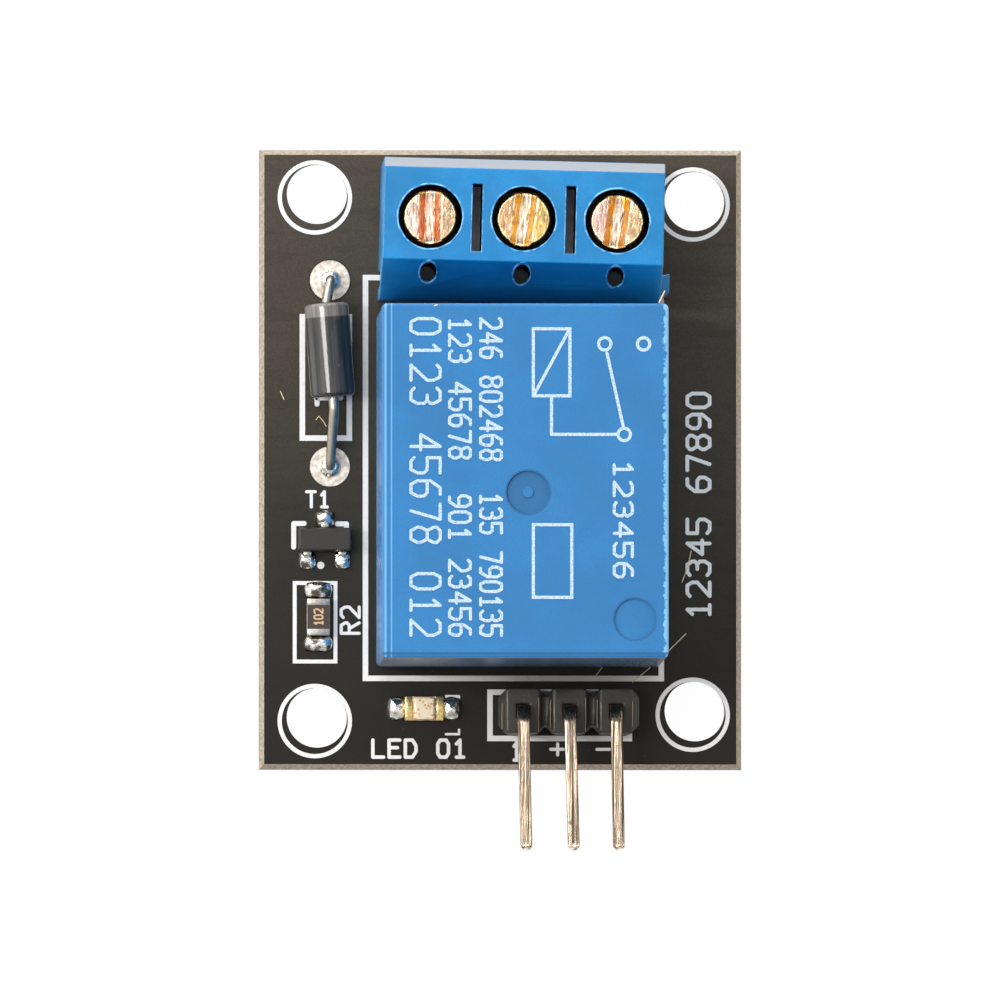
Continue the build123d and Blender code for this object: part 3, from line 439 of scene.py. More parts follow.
def disc(shape, x, y, level, radius, sides=32):
    """Flat disc."""
    bmesh.ops.create_circle(
        shape, cap_ends=True, segments=sides, radius=radius, matrix=Matrix.Translation((x, y, level))
    )


def bar(shape, x0, y0, x1, y1, level, width):
    """Flat bar between two points."""
    length = hypot(x1 - x0, y1 - y0)
    heading = Vector((x1 - x0, y1 - y0)).angle_signed(Vector((1, 0)), 0.0)
    place = Matrix.Translation(((x0 + x1) / 2, (y0 + y1) / 2, level)) @ Matrix.Rotation(heading, 4, "Z")
    place = place @ Matrix.Diagonal((length / 2, width / 2, 1, 1))
    bmesh.ops.create_grid(shape, x_segments=1, y_segments=1, size=1, matrix=place)


def box_line(shape, x0, x1, y0, y1, level, width):
    """Flat outline of a box."""
    place = Matrix.Translation(((x0 + x1) / 2, (y0 + y1) / 2, level))
    place = place @ Matrix.Diagonal(((x1 - x0) / 2, (y1 - y0) / 2, 1, 1))
    made = bmesh.ops.create_grid(shape, x_segments=1, y_segments=1, size=1, matrix=place)
    faces = list({f for v in made["verts"] for f in v.link_faces})
    bmesh.ops.inset_region(shape, faces=faces, thickness=width, use_even_offset=True, use_boundary=True)
    bmesh.ops.delete(shape, geom=faces, context="FACES")


def thicken(shape, height):
    """Give flat shapes a thickness, upward from where they lie."""
    made = bmesh.ops.extrude_face_region(shape, geom=shape.faces[:])
    verts = [g for g in made["geom"] if isinstance(g, bmesh.types.BMVert)]
    bmesh.ops.translate(shape, verts=verts, vec=(0, 0, height))
    bmesh.ops.recalc_face_normals(shape, faces=shape.faces)


def flat_piece(name, shape, height, material):
    """Thicken flat marks and turn them into a piece with plain faces."""
    thicken(shape, height)
    add_piece(name, shape, material, smooth=0)


def lathe(shape, profile, x, y, sides=24):
    """Closed shape turned about an upright axis from points of radius and height."""
    verts = [shape.verts.new((x + radius, y, height)) for radius, height in profile]
    edges = [shape.edges.new(pair) for pair in zip(verts, verts[1:])]
    bmesh.ops.spin(
        shape,
        geom=verts + edges,
        cent=(x, y, 0),
        axis=(0, 0, 1),
        angle=2 * pi,
        steps=sides,
        use_merge=True,
    )
    bmesh.ops.remove_doubles(shape, verts=shape.verts, dist=0.0005)
    bmesh.ops.recalc_face_normals(shape, faces=shape.faces)


def blob(shape, x, y, level, size_x, size_y, height, seed, square=0.55, lumps=0.12):
    """Lump of solder with a flat underside."""
    made = bmesh.ops.create_icosphere(shape, subdivisions=4, radius=1)
    for vert in made["verts"]:
        u, v, w = vert.co
        wave = 1 + lumps * noise.noise(Vector((u, v, w)) * 1.7 + Vector((seed, 0, 0)))
        reach = max(1 - w * w, 0.0) ** 0.5
        grow = (max(abs(u), abs(v)) / reach) ** -square if reach > 0.001 else 1.0
        vert.co = (
            x + u * grow * size_x / 2 * (0.96 + 0.04 * wave),
            y + v * grow * size_y / 2 * (0.96 + 0.04 * wave),
            level + (w * height * wave if w > 0 else w * 0.01),
        )


STROKES = {
    "0": "02 07 29 79 97 92 70 20 02",
    "1": "27 59 50 / 20 80",
    "2": "08 29 79 97 95 00 90",
    "3": "08 29 79 97 96 75 45 / 75 94 92 70 20 01",
    "4": "70 79 03 93",
    "5": "99 09 05 75 94 92 70 20 01",
    "6": "89 49 06 02 20 70 92 94 75 05",
    "7": "09 99 40",
    "8": "25 07 08 29 79 98 97 75 25 03 02 20 70 92 93 75",
    "9": "10 50 93 97 79 29 07 05 24 94",
    "D": "00 09 69 96 93 60 00",
    "E": "99 09 00 90 / 05 75",
    "L": "09 00 90",
    "R": "00 09 79 97 96 75 05 / 45 90",
    "T": "09 99 / 59 50",
    "+": "05 95 / 51 59",
    "-": "05 95",
    " ": "",
}


def stroke(shape, points, level, width):
    """Flat line with round ends and corners through some points, each part a little above the last."""
    for start, end in zip(points, points[1:]):
        bar(shape, *start, *end, level, width)
        level += STROKE_RISE
    for x, y in dict.fromkeys(tuple(point) for point in points):
        disc(shape, x, y, level, width / 2, 12)
        level += STROKE_RISE
    return level


def lettering(shape, text, x, y, level, length, size, turn, width):
    """Line of generic characters drawn in strokes of one width, turned about its middle."""
    pitch = (length - width) / (len(text) - 1 + CHARACTER_SHARE)
    step = CHARACTER_SHARE * pitch / GRID_STEPS
    rise = (size - width) / GRID_STEPS
    turned = Matrix.Rotation(radians(turn), 2)
    for place, character in enumerate(text):
        start = place * pitch + (width - length) / 2
        above = level
        for line in STROKES[character].split("/"):
            points = []
            for mark in line.split():
                across = start + int(mark[0]) * step
                up = (int(mark[1]) - GRID_STEPS / 2) * rise
                points.append(Vector((x, y)) + turned @ Vector((across, up)))
            above = stroke(shape, points, above, width)


def join(shape, other):
    """Add another shape to a shape."""
    mesh = bpy.data.meshes.new("joined")
    other.to_mesh(mesh)
    other.free()
    shape.from_mesh(mesh)
    bpy.data.meshes.remove(mesh)


def on_terminal(x, y):
    """Place on the board of a point that is measured from the middle screw."""
    turn = radians(TERMINAL_TURN)
    return TERMINAL_X + x * cos(turn) - y * sin(turn), TERMINAL_Y + x * sin(turn) + y * cos(turn)


class RELAYMODULE_OT_board(bpy.types.Operator):
    """Give the board its lacquer and bare edges"""

    bl_idname = "relay_module.board"
    bl_label = "Board"

    def execute(self, context):
        dress(["circuit_board"], board_finish(context.scene.relay_board))
        return {"FINISHED"}


class RELAYMODULE_OT_board_print(bpy.types.Operator):
    """Print the white outlines and generic marks on the board"""

    bl_idname = "relay_module.board_print"
    bl_label = "Board print"

    def execute(self, context):
        settings = context.scene.relay_board
        ink = ink_finish("board_ink", settings.print_ink)
        top = BOARD_TOP
        height = settings.print_height

        rings = bmesh.new()
        for x, y in MOUNT_HOLES:
            ring(rings, x - 0.12, y - 0.2, top, 1.8, 2.03)
        flat_piece("print_mount_rings", rings, height, ink)

        outlines = bmesh.new()
        box_line(outlines, -7.81, 8.62, -12.3, 9.86, top, OUTLINE_WIDTH)
        box_line(outlines, -11.25, -8.39, 0.8, 7.72, top, OUTLINE_WIDTH)
        box_line(outlines, -11.62, -9.19, -11.34, -6.85, top, 0.21)
        box_line(outlines, -1.02, 6.88, -15.57, -12.75, top, OUTLINE_WIDTH)
        flat_piece("print_outlines", outlines, height, ink)

        marks = bmesh.new()
        stroke(marks, [(-11.57, -5.0), (-11.57, -3.71), (-11.0, -3.71)], top, 0.27)
        stroke(marks, [(-9.2, -3.73), (-8.69, -3.73), (-8.69, -4.05)], top, 0.27)
        disc(marks, -10.1, -5.99, top, 0.2)
        stroke(marks, [(-3.27, -13.12), (-2.56, -13.12), (-2.56, -13.25)], top, 0.13)
        stroke(marks, [(-3.27, -15.19), (-2.56, -15.19), (-2.56, -14.95)], top, 0.13)
        stroke(marks, [(-10.35, 3.14), (-9.0, 3.14)], top, 0.27)
        stroke(marks, [(-10.3, 3.14), (-10.3, 2.8)], top, 0.27)
        for text, x, y, length, size, turn, width in (
            ("T1", -10.28, -2.39, 1.35, 1.0, 0, 0.17),
            ("R2", -8.49, -8.98, 1.6, 1.15, 90, 0.17),
            ("LED 01", -4.75, -15.98, 5.2, 1.12, 0, 0.19),
            ("1", 0.56, -16.12, 0.6, 1.15, 0, 0.19),
            ("+", 2.78, -16.05, 0.85, 0.85, 0, 0.17),
            ("-", 5.3, -16.05, 0.85, 0.85, 0, 0.17),
            ("12345 67890", 10.5, -2.7, 12.4, 1.42, 90, 0.2),
        ):
            lettering(marks, text, x, y, top, length, size, turn, width)
        flat_piece("print_marks", marks, height, ink)
        return {"FINISHED"}


def from_terminal(point):
    """Place of a point measured from the middle screw, seen along the terminal."""
    turn = radians(TERMINAL_TURN)
    x, y = point.x - TERMINAL_X, point.y - TERMINAL_Y
    return x * cos(turn) + y * sin(turn), y * cos(turn) - x * sin(turn), point.z - BOARD_TOP


def in_terminal_hollow(face):
    """2 for the floor of a slot or test hole, 1 for other faces in wells, slots and test holes, else 0."""
    x, y, z = from_terminal(face.calc_center_median())
    beside = min(abs(x - pole) for pole in POLES)
    well = hypot(beside, y) < 1.79 and 5.6 < z < 9.86
    in_slot = abs(beside - SLOT_OFFSET) < SLOT_HALF_WIDTH and abs(x) < 4
    slot = in_slot and 6.5 < z < 9.86 and face.calc_area() < 12
    test_hole = beside < 0.5 and -3.5 < y < -2.4 and z > 4.9 and face.calc_area() < 4
    if (slot or test_hole) and face.normal.z > 0.7:
        return 2
    return int(well or slot or test_hole)


class RELAYMODULE_OT_terminal(bpy.types.Operator):
    """Mould the screw terminal's housing with soft edges and raised rims"""

    bl_idname = "relay_module.terminal"
    bl_label = "Terminal housing"

    def execute(self, context):
        settings = context.scene.relay_plastic
        colour = settings.terminal
        # Painted shade: faces deep in the wells, slots and test holes get a matt dark material, and the
        # floors of the slots and test holes a pale one.
        painted_hollow_shade = self.shadow("terminal_hollow_painted_shade", srgb(8, 10, 14), srgb(22, 28, 38))
        slots = self.shadow("terminal_slot_floors", srgb(206, 212, 224), srgb(226, 232, 242))
        softened_piece(
            "terminal_moulding",
            "terminal_housing",
            settings.edge_round,
            self.nylon(colour),
            hollow=((painted_hollow_shade, slots), in_terminal_hollow),
        )
        rims = bmesh.new()
        for offset in POLES:
            self.add_rim(rims, (offset, 0, 10.0), WELL_RADIUS, 0, 1.0)
            self.add_rim(rims, (offset, -2.95, 8.42), TEST_HOLE_RADIUS, TEST_HOLE_SLOPE, 3.1)
        for side in (-SLOT_OFFSET, SLOT_OFFSET):
            for x in (side - SLOT_HALF_WIDTH, side + SLOT_HALF_WIDTH):
                bar(rims, *on_terminal(x, -1.9), *on_terminal(x, 1.75), TERMINAL_TOP + 0.01, 0.05)
        # The rims are painted paler than the moulding, in uneven patches.
        wear_and_highlights = Finish("terminal_rims", colour, 0.35)
        share = wear_and_highlights.mottle((1.7, 4, 0.7), 0.4, 0.58)
        wear_and_highlights.paint(wear_and_highlights.blend(share, shade(colour, 1.05), srgb(112, 186, 234)))
        add_piece("terminal_well_rims", rims, wear_and_highlights.material)
        return {"FINISHED"}

    def shadow(self, name, dark, pale):
        """Matt colour mottled between two levels, for faces inside a hollow; the dark one is painted shade.
        """
        finish = Finish(name, dark, 0.8, Specular_IOR_Level=0.1)
        finish.paint(finish.blend(finish.mottle((2.2, 3), 0.3, 0.7), dark, pale))
        return finish.material

    def nylon(self, colour):
        """Glossy blue nylon, with a painted reflection on the front chamfer and painted light and shade on
        the back slope.
        """
        finish = Finish("terminal_nylon", colour, 0.34, Specular_IOR_Level=0.45)
        cloud = finish.mottle((0.3, 4), 0.3, 0.7)
        base = finish.shaded(cloud, colour, 0.85, 1.12)
        grain = finish.mottle((9, 2, 0.6), 0.35, 0.65)
        base = finish.blend(finish.times(grain, 0.3), base, shade(colour, 0.75))
        specks = finish.mottle((2.7, 4, 0.7), 0.7, 0.76, 0.0, 0.7)
        base = finish.blend(specks, base, shade(colour, 1.9))
        facing = finish.axes(finish.place.outputs["Normal"])
        forward = finish.spread(facing["Y"], 0.45, 0.6)
        upward = finish.spread(facing["Z"], 0.35, 0.5)
        # Painted reflection: faces that lean toward +Y and up are painted pale grey, as the chamfer mirrors
        # the bright light behind the board.
        painted_chamfer_reflection = finish.times(forward, upward)
        base = finish.blend(painted_chamfer_reflection, base, srgb(136, 142, 150))
        # Painted light and shade on the back slope, which faces -Y: its lower part is painted paler where
        # the relay keeps light off it, and a thin band at its foot is painted nearly black as a shadow.
        backward = finish.spread(facing["Y"], -0.96, -0.9, 0, 1)
        slope = finish.times(finish.spread(facing["Y"], -0.88, -0.8, 1, 0), backward)
        height = finish.axes(finish.place.outputs["Object"])["Z"]
        lit = finish.times(slope, finish.spread(height, 0.0072, 0.0105, 1, 0))
        base = finish.blend(lit, base, shade(colour, 1.8))
        painted_foot_shadow = finish.times(slope, finish.spread(height, 0.00695, 0.0071, 1, 0))
        finish.paint(finish.blend(painted_foot_shadow, base, srgb(20, 24, 36)))
        finish.sheen_of(finish.mottle((1.1, 3), 0.3, 0.7, 0.28, 0.42))
        finish.relief(finish.noise(7, 2, 0.6), 0.008)
        return finish.material

    def add_rim(self, rims, centre, radius, tilt, stretch):
        """Uneven raised rim round a hole, on a face that leans back by a tilt."""
        rim = bmesh.new()
        profile = [(radius, -0.04), (radius, 0.02), (radius + 0.04, 0.035), (radius + 0.085, 0.015)]
        lathe(rim, profile + [(radius + 0.09, -0.04), (radius, -0.04)], 0, 0, 48)
        for vert in rim.verts:
            wave = noise.noise(Vector((vert.co.x, vert.co.y, centre[0])) * 2.3)
            vert.co *= 1 + 0.02 * wave
        x, y = on_terminal(centre[0], centre[1])
        place = Matrix.Translation((x, y, BOARD_TOP + centre[2]))
        place = place @ Matrix.Rotation(radians(TERMINAL_TURN), 4, "Z")
        place = place @ Matrix.Rotation(radians(tilt), 4, "X")
        bmesh.ops.transform(rim, matrix=place @ Matrix.Diagonal((1, stretch, 1, 1)), verts=rim.verts)
        join(rims, rim)


class RELAYMODULE_OT_terminal_screws(bpy.types.Operator):
    """Plate the clamp screws, wear their slots and paint highlights along the slot edges and round the
    heads
    """

    bl_idname = "relay_module.terminal_screws"
    bl_label = "Terminal screws"

    def execute(self, context):
        tints = (
            (srgb(222, 196, 188), srgb(204, 175, 146)),
            (srgb(208, 171, 134), srgb(208, 180, 112)),
            (srgb(236, 204, 200), srgb(210, 178, 140)),
        )
        walls = (srgb(224, 148, 98), srgb(240, 200, 66), srgb(232, 180, 72))
        for number, offset in enumerate(POLES, 1):
            x, y = on_terminal(offset, 0)
            heading = SCREW_HEADINGS[number - 1]
            pink, golden = tints[number - 1]
            finish = Finish(f"screw_plating_{number}", pink, 0.3, 1.0)
            view = finish.moved((x, y, 0), heading)
            wobble = finish.times(finish.maths("SUBTRACT", finish.noise(1.9, 3), 0.5), 0.0008)
            across = finish.maths("ABSOLUTE", finish.maths("ADD", finish.axes(view)["Y"], wobble))
            scored = finish.noise(5, 4, 0.65, place=finish.moved((x, y, 0), heading, (5, 1, 1)))
            patches = finish.mottle((1.3, 4, 0.65), 0.45, 0.52)
            side = finish.maths("ADD", finish.axes(view)["Y"], finish.times(patches, 0.0006))
            tint = finish.blend(finish.spread(side, -0.0001, 0.0006), golden, pink)
            face = finish.blend(finish.times(patches, 0.5), tint, srgb(150, 118, 86))
            stained = finish.mottle((2.1, 3, 0.6), 0.6, 0.72, 0, 0.45)
            face = finish.blend(stained, face, srgb(206, 150, 110))
            torn = finish.blend(finish.spread(scored, 0.35, 0.65), srgb(140, 100, 72), srgb(255, 240, 222))
            floor = finish.spread(across, 0.00026, 0.0003, 1, 0)
            face = finish.blend(floor, face, torn)
            wall = finish.between(across, 0.28, 0.49)
            face = finish.blend(wall, face, walls[number - 1])
            # Painted highlights: a pale band along each edge of the slot, and a pale ring near the rim of
            # the head.
            lip = finish.between(across, 0.53, 0.63)
            face = finish.blend(lip, face, srgb(255, 232, 206))
            from_axis = finish.reach(finish.moved((x, y, 0), heading, (1, 1, 1000)))
            finish.paint(finish.blend(finish.between(from_axis, 1.32, 1.4), face, srgb(255, 232, 176)))
            finish.sheen_of(finish.spread(scored, 0.3, 0.7, 0.2, 0.46))
            finish.relief(finish.maths("ADD", scored, finish.noise(3, 3)), 0.05)
            softened_piece(
                f"clamp_screw_{number}",
                f"terminal_screw_{number}",
                0.04,
                finish.material,
                f"screw_{number}",
            )
        return {"FINISHED"}


class RELAYMODULE_OT_terminal_inside(bpy.types.Operator):
    """Tin the terminal's contact frames and wire guards, with the tin painted dark as shade deep in the
    wells
    """

    bl_idname = "relay_module.terminal_inside"
    bl_label = "Terminal contacts"

    def execute(self, context):
        # Painted shade: the tin is painted dark, as the frames lie deep in the wells.
        tin_with_painted_shade = metal_finish("terminal_tin_painted_shade", srgb(108, 102, 94), 0.5, (1, 1, 6))
        dress([f"terminal_contact_{n}" for n in (1, 2, 3)], tin_with_painted_shade)
        dress([f"wire_guard_{n}" for n in (1, 2, 3)], tin_with_painted_shade)
        return {"FINISHED"}


class RELAYMODULE_OT_relay_cover(bpy.types.Operator):
    """Mould the relay's cover, smooth at its corners"""

    bl_idname = "relay_module.relay_cover"
    bl_label = "Relay cover"

    def execute(self, context):
        settings = context.scene.relay_plastic
        cover = self.case_finish(settings.relay)
        piece = add_piece(
            "relay_cover_moulding",
            merged_copy("relay_case"),
            cover,
            replaces=("relay_case",),
            smooth=40,
        )
        piece.modifiers.new("Even faces", "WEIGHTED_NORMAL").keep_sharp = True
        base = moulded_finish("relay_base_plastic", settings.relay_base, 0.5)
        dress(["relay_base"], base)
        return {"FINISHED"}

    def case_finish(self, colour):
        """Spark-textured blue, with painted highlights along the upper edges, a painted shadow line along
        the top's -Y edge, and the wall facing -Y painted dark as shade, with dust on it.
        """
        finish = Finish("relay_cover_plastic", colour, 0.5, Specular_IOR_Level=0.4)
        cloud = finish.mottle((0.22, 3), 0.3, 0.7)
        top = finish.shaded(cloud, colour, 0.9, 1.08)
        grain = finish.mottle((12, 2, 0.6), 0.4, 0.6)
        top = finish.blend(finish.times(grain, 0.35), top, shade(colour, 0.78))
        specks = finish.mottle((3.1, 4, 0.7), 0.7, 0.78, 0.0, 0.5)
        top = finish.blend(specks, top, shade(colour, 1.7))
        place = finish.axes(finish.moved((RELAY_X, RELAY_Y, 0)))
        # Painted highlights: a ragged pale strip along the right edge and two thin pale lines near the left
        # edge, where the rounded edges catch the light.
        ragged = finish.times(finish.maths("SUBTRACT", finish.noise(2.2, 4, 0.7), 0.5), 0.0009)
        right = finish.spread(finish.maths("ADD", place["X"], ragged), 0.00748, 0.0076)
        leftward = finish.times(place["X"], -1)
        left = finish.maths("ADD", finish.between(leftward, 7.2, 7.26), finish.between(leftward, 7.5, 7.6))
        wear_and_highlights = finish.maths("MAXIMUM", right, finish.times(left, 0.7))
        top = finish.blend(wear_and_highlights, top, srgb(120, 180, 224))
        # Painted shadow: a thin darker line along the -Y edge of the top.
        front = finish.between(finish.times(place["Y"], -1), 9.28, 9.42)
        top = finish.blend(finish.times(front, 0.8), top, shade(colour, 0.5))
        # Painted shade and reflection: the upright wall facing -Y is painted dark, as it lies in shade and
        # mirrors the dark board at a grazing angle; pale dust specks lie over it.
        dust = finish.noise(2.4, 5, 0.75)
        wall = finish.blend(finish.spread(dust, 0.58, 0.72), shade(colour, 0.34), srgb(138, 140, 138))
        facing = finish.axes(finish.place.outputs["Normal"])
        upright = finish.spread(finish.maths("ABSOLUTE", facing["Z"]), 0.3, 0.6, 1, 0)
        forward = finish.spread(facing["Y"], -0.9, -0.5, 1, 0)
        finish.paint(finish.blend(finish.times(upright, forward), top, wall))
        finish.sheen_of(finish.spread(upright, 0, 1, 0.5, 0.22))
        finish.relief(finish.noise(16, 2, 0.6), 0.014)
        return finish.material


class RELAYMODULE_OT_relay_print(bpy.types.Operator):
    """Print generic numerals and a contact diagram on the relay"""

    bl_idname = "relay_module.relay_print"
    bl_label = "Relay print"

    def execute(self, context):
        ink = self.speckled_ink(context.scene.relay_plastic.relay)
        top = RELAY_TOP

        lines = bmesh.new()
        for text, x, y, length, size in (
            ("0123 45678 012", -5.39, 0.19, 17.3, 1.75),
            ("123 45678  901 23456", -3.53, 0.19, 17.3, 1.3),
            ("246 802468  135 790135", -1.85, 0.19, 17.3, 1.3),
            ("123456", 5.3, -2.1, 6.4, 1.15),
        ):
            lettering(lines, text, RELAY_X + x, RELAY_Y + y, top, length, size, -90, RELAY_LINE_WIDTH)
        flat_piece("relay_print_numerals", lines, RELAY_INK_HEIGHT, ink)

        diagram = bmesh.new()
        for x, y in ((4.3, 7.4), (6.4, 7.4), (5.35, 2.5)):
            ring(diagram, RELAY_X + x, RELAY_Y + y, top, 0.25, 0.42, 32)
        for x0, x1, y0, y1 in ((0.35, 2.5, 4.5, 8.3), (0.35, 2.6, -6.4, -2.3)):
            sides = (RELAY_X + x0, RELAY_X + x1, RELAY_Y + y0, RELAY_Y + y1)
            box_line(diagram, *sides, top, RELAY_LINE_WIDTH)
        for points in (
            ((5.3, 2.92), (4.42, 6.9)),
            ((1.42, 4.5), (1.42, 2.5), (4.93, 2.5)),
            ((0.45, 4.6), (2.4, 8.2)),
        ):
            moved = [(RELAY_X + x, RELAY_Y + y) for x, y in points]
            stroke(diagram, moved, top + 2 * STROKE_RISE, RELAY_LINE_WIDTH)
        flat_piece("relay_print_diagram", diagram, RELAY_INK_HEIGHT, ink)

        marks = bmesh.new()
        ring(marks, RELAY_X + 0.15, RELAY_Y - 0.63, top + 0.004, 1.17, 1.26)
        ring(marks, RELAY_X + 5.92, RELAY_Y - 7.48, top + 0.004, 1.11, 1.2)
        disc(marks, RELAY_X + 0.15, RELAY_Y - 0.63, top - 0.146, 1.19)
        colour = context.scene.relay_plastic.relay
        shadow = moulded_finish("relay_mark_edges", shade(colour, 0.72), 0.5, 22, 0.02)
        add_piece("relay_cover_marks", marks, shadow, smooth=0)
        return {"FINISHED"}

    def speckled_ink(self, colour):
        """Thin white ink that lets the blue grain show through."""
        finish = Finish("relay_ink", srgb(184, 202, 220), 0.6)
        bare = finish.mottle((11, 3, 0.7), 0.44, 0.66, 0.0, 0.7)
        finish.paint(finish.blend(bare, srgb(188, 206, 224), shade(colour, 1.35)))
        return finish.material


class RELAYMODULE_OT_relay_inside(bpy.types.Operator):
    """Finish the relay's motor, contacts and pins"""

    bl_idname = "relay_module.relay_inside"
    bl_label = "Relay motor and contacts"

    def execute(self, context):
        iron = metal_finish("nickelled_iron", srgb(188, 186, 180), 0.3, (1, 5, 1))
        dress(["relay_core", "relay_yoke", "relay_armature"], iron)
        bronze = metal_finish("spring_bronze", srgb(204, 150, 100), 0.28, (1, 6, 1))
        dress(["relay_contact_spring"], bronze)
        silver = metal_finish("contact_silver", srgb(226, 224, 220), 0.25)
        dress(["relay_moving_contact", "relay_no_contact", "relay_nc_contact"], silver)
        tin = metal_finish("pin_tin", srgb(206, 200, 188), 0.3, (1, 1, 6))
        dress(["relay_no_terminal", "relay_nc_terminal", "relay_common_terminal"], tin)
        dress(["relay_coil_pin_1", "relay_coil_pin_2"], tin)
        dress(["relay_bobbin"], moulded_finish("bobbin_plastic", srgb(46, 44, 42), 0.45))
        winding = Finish("winding_wire", srgb(186, 96, 48), 0.3, 0.6)
        # Painted shade: the wire is painted darker between its turns and paler on them.
        rows = finish_rows(winding, 9.0)
        winding.paint(winding.blend(rows, srgb(120, 52, 24), srgb(204, 112, 58)))
        winding.relief(rows, 0.05)
        dress(["relay_coil"], winding.material)
        return {"FINISHED"}


def finish_rows(finish, per_mm):
    """Rows stacked along Z, as turns of wire lie."""
    height = finish.axes(finish.place.outputs["Object"])["Z"]
    phase = finish.times(height, per_mm * 2 * pi / MM)
    return finish.spread(finish.maths("SINE", phase), -1, 1)


class RELAYMODULE_OT_header(bpy.types.Operator):
    """Mould the header strip and plate its pins"""

    bl_idname = "relay_module.header"
    bl_label = "Header"

    def execute(self, context):
        settings = context.scene.relay_plastic
        black = moulded_finish("header_plastic", settings.header, 0.36, 5, 0.02, 2.6)
        softened_piece("header_moulding", "header_insulator", 0.13, black)
        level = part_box("header_insulator")[1].z / MM
        # Painted highlights: thin pale lines down the upright edges of the blocks, where their roundings
        # catch the light.
        edges = bmesh.new()
        for x, low, high in (
            (-0.27, -15.0, -13.6),
            (1.71, -15.1, -13.3),
            (2.36, -14.9, -13.4),
            (4.27, -15.1, -13.3),
            (4.9, -14.9, -13.4),
            (6.82, -14.8, -13.5),
        ):
            heights = [low + step * (high - low) / 5 for step in range(6)]
            points = [(x + 0.05 * noise.noise(Vector((x, y, 0)) * 2), y) for y in heights]
            stroke(edges, points, level - 0.02, 0.04)
        wear_and_highlights = ink_finish("header_painted_edge_highlights", srgb(150, 132, 108), 0.8)
        flat_piece("header_painted_highlight_lines", edges, 0.03, wear_and_highlights)
        drawn = Finish("pin_plating", srgb(226, 208, 186), 0.28, 1.0)
        streaks = drawn.noise(13, 3, 0.65, place=drawn.moved(stretch=(1, 60, 1)))
        tone = drawn.blend(drawn.spread(streaks, 0.4, 0.6), srgb(70, 58, 46), srgb(196, 176, 154))
        scuffs = drawn.mottle((1.9, 4, 0.7), 0.56, 0.7, 0.0, 0.6)
        tone = drawn.blend(scuffs, tone, srgb(96, 78, 60))
        # Tips: a rough mottle of dark and pale metal, partly the sheared ends and partly a painted
        # highlight on their chamfers.
        reach = drawn.axes(drawn.place.outputs["Object"])["Y"]
        tip = drawn.spread(reach, -0.02142, -0.02118, 1, 0)
        rough = drawn.mottle((5, 4, 0.7), 0.42, 0.55)
        torn = drawn.blend(rough, srgb(146, 108, 76), srgb(255, 244, 226))
        drawn.paint(drawn.blend(tip, tone, torn))
        drawn.sheen_of(drawn.spread(streaks, 0.3, 0.7, 0.36, 0.22))
        drawn.relief(streaks, 0.03)
        for number in (1, 2, 3):
            softened_piece(f"bent_pin_{number}", f"header_pin_{number}", 0.05, drawn.material)
        return {"FINISHED"}


class RELAYMODULE_OT_diode(bpy.types.Operator):
    """Mould the diode with its grey band and draw its leads"""

    bl_idname = "relay_module.diode"
    bl_label = "Diode"

    def execute(self, context):
        colour = srgb(44, 41, 37)
        gloss = {"Specular_IOR_Level": 0.3, "Coat_Weight": 0.7, "Coat_Roughness": 0.05}
        finish = Finish("diode_epoxy", colour, 0.4, **gloss)
        view = finish.moved((DIODE_X, DIODE_Y, 0), DIODE_TURN)
        band = finish.between(finish.axes(view)["Y"], 1.8, 2.54)
        # Painted reflections: the colour has dark and pale streaks along the body, as its gloss mirrors the
        # lamps; the band shares them.
        drawn = finish.noise(4.5, 3, 0.6, place=finish.moved((0, 0, 0), DIODE_TURN, (1, 25, 1)))
        streaks = finish.spread(drawn, 0.4, 0.6)
        body = finish.shaded(streaks, colour, 0.6, 1.6)
        scuffed = finish.mottle((2.4, 4, 0.7), 0.64, 0.74, 0.0, 0.4)
        body = finish.blend(scuffed, body, srgb(140, 128, 112))
        grey = finish.blend(streaks, srgb(98, 92, 86), srgb(124, 118, 112))
        finish.paint(finish.blend(band, body, grey))
        finish.relief(drawn, 0.006)
        softened_piece("diode_moulding", "diode_body", 0.05, finish.material, smooth=40)
        wire = metal_finish("diode_wire", srgb(190, 180, 166), 0.3, (1, 5, 5), 0, 5, 0.012)
        for name in ("diode_cathode_lead", "diode_anode_lead"):
            add_piece(f"{name}_wire", merged_copy(name), wire, replaces=(name,), smooth=60)
        return {"FINISHED"}


class RELAYMODULE_OT_transistor(bpy.types.Operator):
    """Mould the transistor and tin its leads"""

    bl_idname = "relay_module.transistor"
    bl_label = "Transistor"

    def execute(self, context):
        epoxy = moulded_finish("transistor_epoxy", srgb(45, 41, 35), 0.5, 12, 0.01, 1.5)
        softened_piece("transistor_moulding", "transistor_body", 0.04, epoxy)
        lead = metal_finish("transistor_tin", srgb(204, 198, 188), 0.26)
        softened_piece("transistor_feet", "transistor_leads", 0.02, lead)
        return {"FINISHED"}


